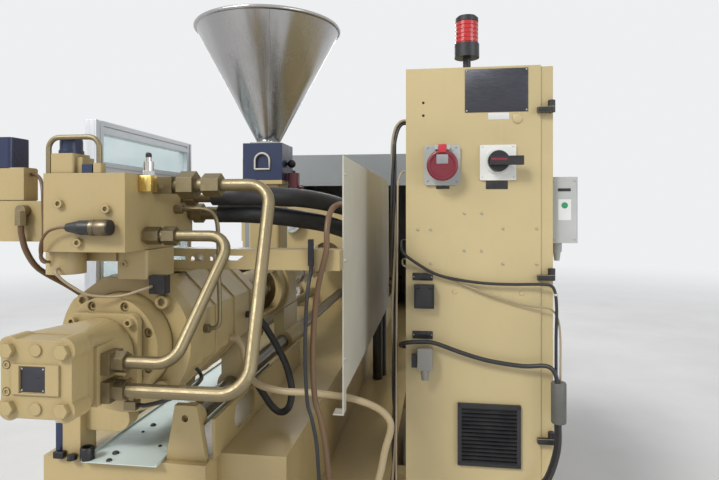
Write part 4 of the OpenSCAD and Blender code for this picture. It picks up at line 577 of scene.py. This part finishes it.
class Pile:
    """Gathers parts of one look on one body into one mesh."""

    def __init__(self, name, look, body, slot):
        self.bm = bmesh.new()
        self.name, self.look, self.body, self.slot = name, look, body, slot

    def frame_at(self, place, axis):
        """The matrix that takes +Z at the origin to the axis at the place."""
        return Matrix.Translation(row(place)) @ AXES[axis].to_track_quat("Z", "Y").to_matrix().to_4x4()

    def lathe(self, place, axis, profile, sides=32):
        """Turns a profile of (radius, height) pairs about the axis; radius 0 closes an end."""
        m = self.frame_at(place, axis)
        angles = [2 * math.pi * j / sides for j in range(sides)]
        rings = []
        for r, h in profile:
            spots = [(r * math.cos(a), r * math.sin(a), h) for a in angles] if r > 0 else [(0, 0, h)]
            rings.append([self.bm.verts.new(m @ Vector(spot)) for spot in spots])
        for a, b in zip(rings, rings[1:]):
            for j in range(sides):
                k = (j + 1) % sides
                corners = dict.fromkeys((a[j % len(a)], a[k % len(a)], b[k % len(b)], b[j % len(b)]))
                if len(corners) > 2:
                    self.bm.faces.new(list(corners))

    def box(self, low, high, radius):
        """A box between two corners with rounded edges."""
        lo, hi = row(low), row(high)
        made = bmesh.ops.create_cube(self.bm, size=1)["verts"]
        for v in made:
            v.co = Vector([lo[i] if v.co[i] < 0 else hi[i] for i in range(3)])
        edges = list(dict.fromkeys(e for v in made for e in v.link_edges))
        radius = min(radius, 0.45 * min(hi[i] - lo[i] for i in range(3)))
        bmesh.ops.bevel(self.bm, geom=edges, offset=radius, segments=2, profile=0.5, affect="EDGES")

    def hexagon(self, place, axis, af, h, washer=0.0):
        """A hexagon head with chamfered corners, on a washer face when asked."""
        m = self.frame_at(place, axis)
        sides = 24
        half = af / 2
        if washer:
            self.lathe(place, axis, [(0, 0), (washer, 0), (washer, af * 0.07), (washer * 0.98, af * 0.09),
                                     (0, af * 0.09)], 32)
        low, high, top = [], [], []
        for j in range(sides):
            a = 2 * math.pi * j / sides
            r = half / math.cos((a + math.pi / 6) % (math.pi / 3) - math.pi / 6)
            c, s = math.cos(a), math.sin(a)
            low.append(self.bm.verts.new(m @ Vector((r * c, r * s, 0))))
            high.append(self.bm.verts.new(m @ Vector((r * c, r * s, h - 0.55 * (r - half) - 0.02 * af))))
            top.append(self.bm.verts.new(m @ Vector((half * 0.95 * c, half * 0.95 * s, h))))
        for a, b in ((low, high), (high, top)):
            for j in range(sides):
                k = (j + 1) % sides
                self.bm.faces.new((a[j], a[k], b[k], b[j]))
        self.bm.faces.new(top)
        self.bm.faces.new(list(reversed(low)))

    def pan(self, place, axis, d, h):
        """A pan head screw with a hollow for the driver."""
        r = d / 2
        self.lathe(place, axis, [(0, 0), (r, 0), (r * 0.97, h * 0.45), (r * 0.8, h * 0.85), (r * 0.45, h),
                                 (r * 0.30, h * 0.98), (r * 0.16, h * 0.55), (0, h * 0.5)], 20)

    def make(self):
        """Makes the piece of what was gathered."""
        bmesh.ops.recalc_face_normals(self.bm, faces=self.bm.faces)
        mesh = bpy.data.meshes.new(self.name)
        self.bm.to_mesh(mesh)
        self.bm.free()
        keep(mesh, self.name, LOOKS[self.look], self.body)


def plate(name, size, corner, place, thickness, look, body, bevel):
    """A flat plate with round corners that faces -Y; size is its width and height, place its middle."""
    points = []
    for right, up, start in ((1, 1, 0), (-1, 1, 90), (-1, -1, 180), (1, -1, 270)):
        for i in range(7):
            a = math.radians(start + 15 * i)
            points.append((right * (size[0] / 2 - corner) + corner * math.cos(a),
                           up * (size[1] / 2 - corner) + corner * math.sin(a)))
    bm = bmesh.new()
    back = [bm.verts.new(row(place) + Vector((x, 0, z))) for x, z in points]
    face = [bm.verts.new(row(place) + Vector((x, -thickness, z))) for x, z in points]
    bm.faces.new(list(reversed(back)))
    bm.faces.new(face)
    for i in range(len(points)):
        j = (i + 1) % len(points)
        bm.faces.new((back[i], back[j], face[j], face[i]))
    if bevel:
        bmesh.ops.bevel(bm, geom=bm.edges[:], offset=bevel, segments=2, profile=0.5, affect="EDGES")
    mesh = bpy.data.meshes.new(name)
    bm.to_mesh(mesh)
    bm.free()
    keep(mesh, name, LOOKS[look], body)


def pipe(name, path, radius, sides, look, angle=50):
    """A tube on the carriage in the look of its slot."""
    keep(tube_mesh(name, path, radius, sides), name, LOOKS[look], "carriage", angle)


# Where pieces on the cabinet's end face begin, and the usual thickness of a label, in metres
FACE = CABINET_Y - SEAT
LABEL = 0.0012


def on_cabinet(u, z, out=0.0):
    """A place on the cabinet's end face: millimetres from its left edge and the floor, and metres out of it."""
    return (CABINET_X + u / 1000, FACE - out, z / 1000)


def label(name, left, right, low, high, look, thickness=LABEL):
    """A flat label on the cabinet's end face between four edges in millimetres."""
    middle = on_cabinet((left + right) / 2, (low + high) / 2)
    plate(name, ((right - left) / 1000, (high - low) / 1000), 0.002, middle, thickness, look, "root",
          0.0003)


# Cabinet face: data plate, sticker and labels, all without lettering
label("data_plate", 178, 363, 1864, 1994, "plate_dark")
label("round_corner_sticker", 246, 308, 1841, 1862, "sticker_white", 0.0004)
label("switch_label", 240, 304, 1633, 1657, "label_black")
label("socket_label", 20, 82, 1355, 1378, "label_black")
label("hood_label", 20, 82, 1177, 1201, "label_black")
label("cee_label", 92, 132, 1634, 1643, "label_black", 0.001)

# Groups of screws on the face: from its left edge, from the floor, how far out of it, and the head's two sizes
face_screws = Pile("face_screws", "screw_zinc", "root", "sheet_paint")
for us, zs, out, d, h in (((176, 227), (1560, 1447), 0, 0.008, 0.0028),
                          ((36, 75), (1510, 1407), 0, 0.008, 0.0028),
                          ((290, 388), (1515, 1409), 0, 0.008, 0.0028),
                          ((183, 358), (1869, 1989), LABEL, 0.0055, 0.002),
                          ((24, 78), (1366, 1189), LABEL, 0.004, 0.0014)):
    for u in us:
        for z in zs:
            face_screws.pan(on_cabinet(u, z, out), "-y", d, h)
face_screws.make()

# Plugs of the face, and near-black discs of painted shade in place of two small holes
plugs = Pile("face_plugs", "sheet_paint", "root", "sheet_paint")
plugs.lathe(on_cabinet(332, 1843), "-y", [(0, 0), (0.0145, 0), (0.0145, 0.0018), (0.0125, 0.0030), (0, 0.0034)])
for u in (148, 344):
    plugs.lathe(on_cabinet(u, 1322), "-y", [(0, 0), (0.007, 0), (0.0066, 0.0014), (0, 0.002)], 20)
plugs.make()
dots = Pile("face_dots", "shadow", "root", "sheet_paint")
for z in (1897, 1858):
    dots.lathe(on_cabinet(53, z), "-y", [(0, 0), (0.004, 0), (0.0036, 0.0006), (0, 0.0008)], 16)
dots.make()

# Black hinge covers: the lower halves on the cabinet, the upper halves on the door
hinge_low = Pile("hinge_covers", "black_plastic", "root", "sheet_paint")
hinge_top = Pile("hinge_leaves", "black_plastic", "cabinet_door", "sheet_paint")
pin_x, pin_y = CABINET_X + 0.429, CABINET_Y - 0.007
for z in (0.898, 1.380, 1.876):
    hinge_low.box((CABINET_X + 0.3875, CABINET_Y - 0.0175, z - 0.018),
                  (CABINET_X + 0.428, CABINET_Y - 0.0004, z - 0.0013), 0.002)
    hinge_low.lathe((pin_x, pin_y, z - 0.018), "z", [(0, 0), (0.0095, 0), (0.0105, 0.001), (0.0105, 0.0158),
                                                     (0, 0.0166)], 24)
    hinge_top.lathe((pin_x, pin_y, z - 0.0007), "z", [(0, 0), (0.0105, 0.0004), (0.0105, 0.0178), (0.0095, 0.0188),
                                                      (0, 0.0188)], 24)
hinge_low.make()
hinge_top.make()

# Motor nameplate in its recess, with rivets
plate("motor_plate", (0.047, 0.044), 0.002, (-0.0055, -0.001, AXIS_Z), 0.0008, "plate_dark", "carriage",
      0.0003)
rivets = Pile("motor_rivets", "screw_zinc", "carriage", "cast_paint")
for x in (-0.0262, 0.0152):
    for z in (-0.0190, 0.0190):
        rivets.pan((x, -0.0018, AXIS_Z + z), "-y", 0.0035, 0.0012)
rivets.make()

# Washers and bolts on the slotted beam
beam_bolts = Pile("beam_bolts", "screw_zinc", "carriage", "cast_paint")
for x in (0.120, 0.164):
    beam_bolts.hexagon((x, 0.417, 1.451), "-y", 0.013, 0.007, washer=0.0105)
beam_bolts.make()

# Screws of the drip tray, and the fittings at the post's foot
tray_screws = Pile("tray_screws", "screw_black", "root", "white_plate")
for x, y, d in ((-0.099, 0.595, 0.016), (-0.103, 0.547, 0.009), (-0.100, 0.410, 0.017), (-0.093, 0.370, 0.014),
                (-0.011, 0.466, 0.010)):
    tray_screws.pan((x, y, TRAY_TOP), "z", d, d * 0.35)
tray_screws.make()
foot = Pile("foot_fittings", "screw_black", "root", "cast_iron")
foot.lathe((-0.152, 0.372, TRAY_TOP), "z", [(0, 0.002), (0.010, 0.002), (0.010, 0.030), (0.015, 0.030),
                                            (0.017, 0.026), (0.017, 0.0), (0, 0.0)], 28)
foot.hexagon((-0.190, 0.368, BEAM_TOP + 0.0001), "z", 0.019, 0.012, washer=0.012)
foot.box((-0.240, 0.364, BEAM_TOP), (-0.212, 0.3795, 0.972), 0.002)
foot.make()
stop = Pile("blue_stop", "navy_paint", "root", "navy_paint")
stop.box((-0.2465, 0.384, BEAM_TOP), (-0.2265, 0.404, 1.036), 0.0012)
stop.make()
stop_cap = Pile("stop_cap", "grey_plastic", "root", "grey_plastic")
stop_cap.box((-0.2475, 0.383, 1.0362), (-0.2255, 0.405, 1.043), 0.0015)
stop_cap.make()

# Round connector: a bronze union nut with grip flats over its middle
nut = Pile("connector_nut", "bronze", "carriage", "black_plastic")
nut.lathe((0.0035, 0.154, 1.534), "x", [(0, 0), (0.0155, 0), (0.0168, 0.0015), (0.0168, 0.009), (0.0160, 0.0105),
                                        (0.0160, 0.0125), (0.0168, 0.014), (0.0168, 0.036), (0.0155, 0.0395),
                                        (0.0, 0.0395)], 36)
nut.make()

# Domed cap of the solenoid
dome = Pile("solenoid_dome", "navy_paint", "carriage", "navy_paint")
dome.lathe((-0.080, 0.210, 1.7190), "z", [(0, 0), (0.0226, 0), (0.0228, 0.002), (0.0215, 0.006), (0.0170, 0.0098),
                                          (0.0095, 0.0118), (0, 0.0122)], 36)
dome.make()

# Frame round the arched sight window: two legs from the sill and half a circle
HALF, LEG = 0.0305, 0.034
sill = row((0, HOPPER_Y - 0.0855, 1.735))
arch = [math.pi * (1 - i / 12) for i in range(13)]
window = [(-HALF, 0), *((HALF * math.cos(a), LEG + HALF * math.sin(a)) for a in arch), (HALF, 0), (-HALF, 0)]
pipe("window_frame", [sill + Vector((x, 0, z)) for x, z in window], 0.0042, 10, "panel_paint")

# Seam down the hopper's cone, between two pairs of radius and height
SEAM_ANGLE = math.radians(-72)
pipe("hopper_seam", [row((r * math.cos(SEAM_ANGLE), HOPPER_Y + r * math.sin(SEAM_ANGLE), z))
                     for r, z in ((0.0485, 1.8535), (0.294, 2.3120))], 0.0014, 8, "hopper_steel", 35)

# Red lid: grey patch, bright latch and ring. Switch: red stripe on the handle.
lid_x, lid_z = CABINET_X + 0.110, 1.706
plate("lid_patch", (0.034, 0.027), 0.003, (lid_x, FACE - 0.054, lid_z + 0.014), 0.0012, "patch_grey", "cee_lid",
      0.0003)
latch = Pile("lid_latch", "red_bright", "cee_lid", "red_plastic")
latch.box((lid_x - 0.0117, FACE - 0.0590, lid_z + 0.0335), (lid_x + 0.0117, FACE - 0.0575, lid_z + 0.0575), 0.0006)
latch.make()
lid_ring = Pile("lid_ring", "red_plastic", "cee_lid", "red_plastic")
lid_ring.lathe((lid_x, FACE - 0.0538, lid_z - 0.004), "-y", [(0.034, 0), (0.036, 0.0025), (0.041, 0.0030),
                                                             (0.0445, 0.0015), (0.0455, 0)], 48)
lid_ring.make()
stripe = Pile("handle_stripe", "stripe_red", "switch_knob", "black_plastic")
stripe.box((CABINET_X + 0.251, FACE - 0.0527, 1.7145), (CABINET_X + 0.297, FACE - 0.0518, 1.7215), 0.0003)
stripe.make()

# Door box: dark label, sticker, green dot and cover screws
box_x, box_y = CABINET_X + 0.435, CABINET_Y + 0.040
plate("box_label", (0.037, 0.009), 0.001, (box_x + 0.040, box_y, 1.631), 0.0008, "label_black", "cabinet_door",
      0.0002)
plate("box_sticker", (0.037, 0.063), 0.001, (box_x + 0.041, box_y, 1.571), 0.0005, "sticker_white", "cabinet_door",
      0)
dot = Pile("box_dot", "green_dot", "cabinet_door", "grey_plastic")
dot.lathe((box_x + 0.041, box_y, 1.584), "-y", [(0, 0), (0.0095, 0), (0.0095, 0.0008), (0, 0.0010)], 24)
dot.make()
box_screws = Pile("box_screws", "screw_zinc", "cabinet_door", "grey_plastic")
for x in (0.010, 0.070):
    for z in (1.482, 1.658):
        box_screws.pan((box_x + x, box_y, z), "-y", 0.006, 0.002)
box_screws.make()

# Grille screws, and a cable tie and a sleeve round the hanging cables
grille_screws = Pile("grille_screws", "screw_black", "root", "black_plastic")
for u in (162, 335):
    for z in (808, 982):
        grille_screws.pan(on_cabinet(u, z, 0.010), "-y", 0.006, 0.0018)
grille_screws.make()
tie = Pile("cable_tie", "tie_white", "root", "hose_rubber")
tie.lathe((1.0405, 0.7868, 1.322), "z", [(0.0046, 0), (0.0068, 0), (0.0068, 0.005), (0.0046, 0.005),
                                         (0.0046, 0)], 20)
tie.box((1.0375, 0.7755, 1.3215), (1.0435, 0.7805, 1.3275), 0.0008)
tie.make()
sleeve = Pile("cable_sleeve", "sleeve_grey", "root", "hose_rubber")
sleeve.lathe((1.0475, 0.7755, 0.957), "z", [(0, 0.001), (0.0195, 0), (0.0215, 0.004), (0.0215, 0.113),
                                            (0.0195, 0.117), (0, 0.116)])
sleeve.make()

# Screws near the edges of the side panel
panel_screws = Pile("panel_screws", "screw_zinc", "carriage", "panel_paint")
for y, z in ((0.475, 1.20), (0.475, 1.445), (0.475, 1.66), (1.66, 1.20)):
    panel_screws.pan((0.474, y, z), "x", 0.011, 0.003)
panel_screws.make()

# Bright brass faces of the block that carries the transducer, and the transducer's black tip
brass = Pile("brass_block", "brass_bright", "carriage", "zinc")
brass.box((0.0671, 0.2216, 1.6096), (0.0957, 0.2504, 1.6444), 0.0012)
brass.make()
tip = Pile("transducer_tip", "black_plastic", "carriage", "ground_steel")
tip.lathe((0.0833, 0.236, 1.6838), "z", [(0, 0), (0.0066, 0), (0.0066, 0.007), (0.0050, 0.009), (0.0050, 0.0102),
                                         (0, 0.0104)], 20)
tip.make()

# Thin steel line from the manifold down to the housing's flank, as x and z in the plane of its two nuts
FLANK = 0.1436
LINE_Y = 0.392
line = ((0.0678, 1.572), (0.100, 1.572), (0.134, 1.572), (0.158, 1.566), (0.1715, 1.549), (0.1765, 1.522),
        (0.1785, 1.450), (0.1805, 1.370), (0.1815, 1.318), (0.1805, 1.300), (0.1750, 1.289), (0.1640, 1.284),
        (FLANK, 1.283))
pipe("pilot_line", spline([row((x, LINE_Y, z)) for x, z in line], 5), 0.0052, 14, "zinc")
line_nuts = Pile("line_nuts", "zinc", "carriage", "zinc")
line_nuts.hexagon((0.0675, LINE_Y, 1.572), "x", 0.019, 0.020)
line_nuts.hexagon((FLANK - SEAT, LINE_Y, 1.283), "x", 0.019, 0.014)
line_nuts.make()

# Floor, light and background

# Colour and brightness of the background, which the floor fades into
BACKGROUND = (0.93, 0.94, 0.95, 1)
BRIGHT = 0.92
# How far the fade is measured and half the floor's width, in metres
FADE_REACH = 24.0
FLOOR_HALF = 40


def light(name, kind, colour, energy, place, target):
    """A light that looks from its place at the target; hands back its data."""
    data = bpy.data.lights.new(name, kind)
    data.color = colour
    data.energy = energy
    obj = bpy.data.objects.new(name, data)
    obj.location = place
    obj.rotation_euler = (Vector(target) - Vector(place)).to_track_quat("-Z", "Y").to_euler()
    bpy.context.scene.collection.objects.link(obj)
    return data


light("sun", "SUN", (1.0, 0.985, 0.955), 1.55, (-2.6, -4.4, 4.4), (0, 0, 0)).angle = math.radians(14)
for name, place, target, size, power, colour in (
        ("key", (-3.2, -5.0, 4.6), (0, -1.6, 1.1), (3.0, 2.4), 85, (1.0, 0.98, 0.95)),
        ("fill", (4.4, -4.6, 2.6), (0.2, -1.4, 1.2), (2.6, 2.2), 60, (0.96, 0.98, 1.0)),
        ("rear", (-2.0, 5.6, 4.0), (0, 1.0, 1.0), (4.0, 2.5), 110, (1.0, 1.0, 1.0))):
    lamp = light(name, "AREA", colour, power, place, target)
    lamp.shape = "RECTANGLE"
    lamp.size, lamp.size_y = size


def floor():
    """Pale floor that fades into the background a long way off."""
    n = Nodes("floor")
    tone = n.ramp(n.noise(1.3, 5), [(0.3, 0.72), (0.7, 0.79)])
    n.finish(tone, 0.75, n.bump(n.noise(60, 4), 0.05, 0.002))
    far = n.add("ShaderNodeVectorMath", operation="LENGTH")
    n.link(n.coords, far.inputs[0])
    fade = n.ramp(n.maths("DIVIDE", far.outputs["Value"], FADE_REACH), [(0.20, 0.0), (0.62, 1.0)], smooth=True)
    glow = n.add("ShaderNodeEmission", Strength=BRIGHT, Color=BACKGROUND)
    blend = n.add("ShaderNodeMixShader")
    n.link(fade, blend.inputs[0])
    n.link(n.shader.outputs["BSDF"], blend.inputs[1])
    n.link(glow.outputs[0], blend.inputs[2])
    n.link(blend.outputs[0], n.tree.nodes["Material Output"].inputs["Surface"])
    mesh = bpy.data.meshes.new("floor")
    s = FLOOR_HALF
    mesh.from_pydata([(-s, -s, 0), (s, -s, 0), (s, s, 0), (-s, s, 0)], [], [(0, 1, 2, 3)])
    mesh.materials.append(n.material)
    obj = bpy.data.objects.new("floor", mesh)
    bpy.context.scene.collection.objects.link(obj)


def background():
    """The background as the camera, reflections and clear panes see it, and a softer one for the light."""
    world = bpy.data.worlds.new("world")
    bpy.context.scene.world = world
    world.use_nodes = True
    tree = world.node_tree
    tree.nodes.clear()
    rays = tree.nodes.new("ShaderNodeLightPath")
    seen = rays.outputs["Is Camera Ray"]
    for kind in ("Is Glossy Ray", "Is Transmission Ray"):
        either = tree.nodes.new("ShaderNodeMath")
        either.operation = "MAXIMUM"
        tree.links.new(seen, either.inputs[0])
        tree.links.new(rays.outputs[kind], either.inputs[1])
        seen = either.outputs[0]
    blend = tree.nodes.new("ShaderNodeMixShader")
    tree.links.new(seen, blend.inputs[0])
    for index, colour, strength in ((1, (0.95, 0.97, 1.0, 1), 0.42), (2, BACKGROUND, BRIGHT)):
        shade = tree.nodes.new("ShaderNodeBackground")
        shade.inputs["Color"].default_value = colour
        shade.inputs["Strength"].default_value = strength
        tree.links.new(shade.outputs[0], blend.inputs[index])
    output = tree.nodes.new("ShaderNodeOutputWorld")
    tree.links.new(blend.outputs[0], output.inputs[0])


floor()
background()

bpy.context.scene.view_settings.view_transform = "Standard"
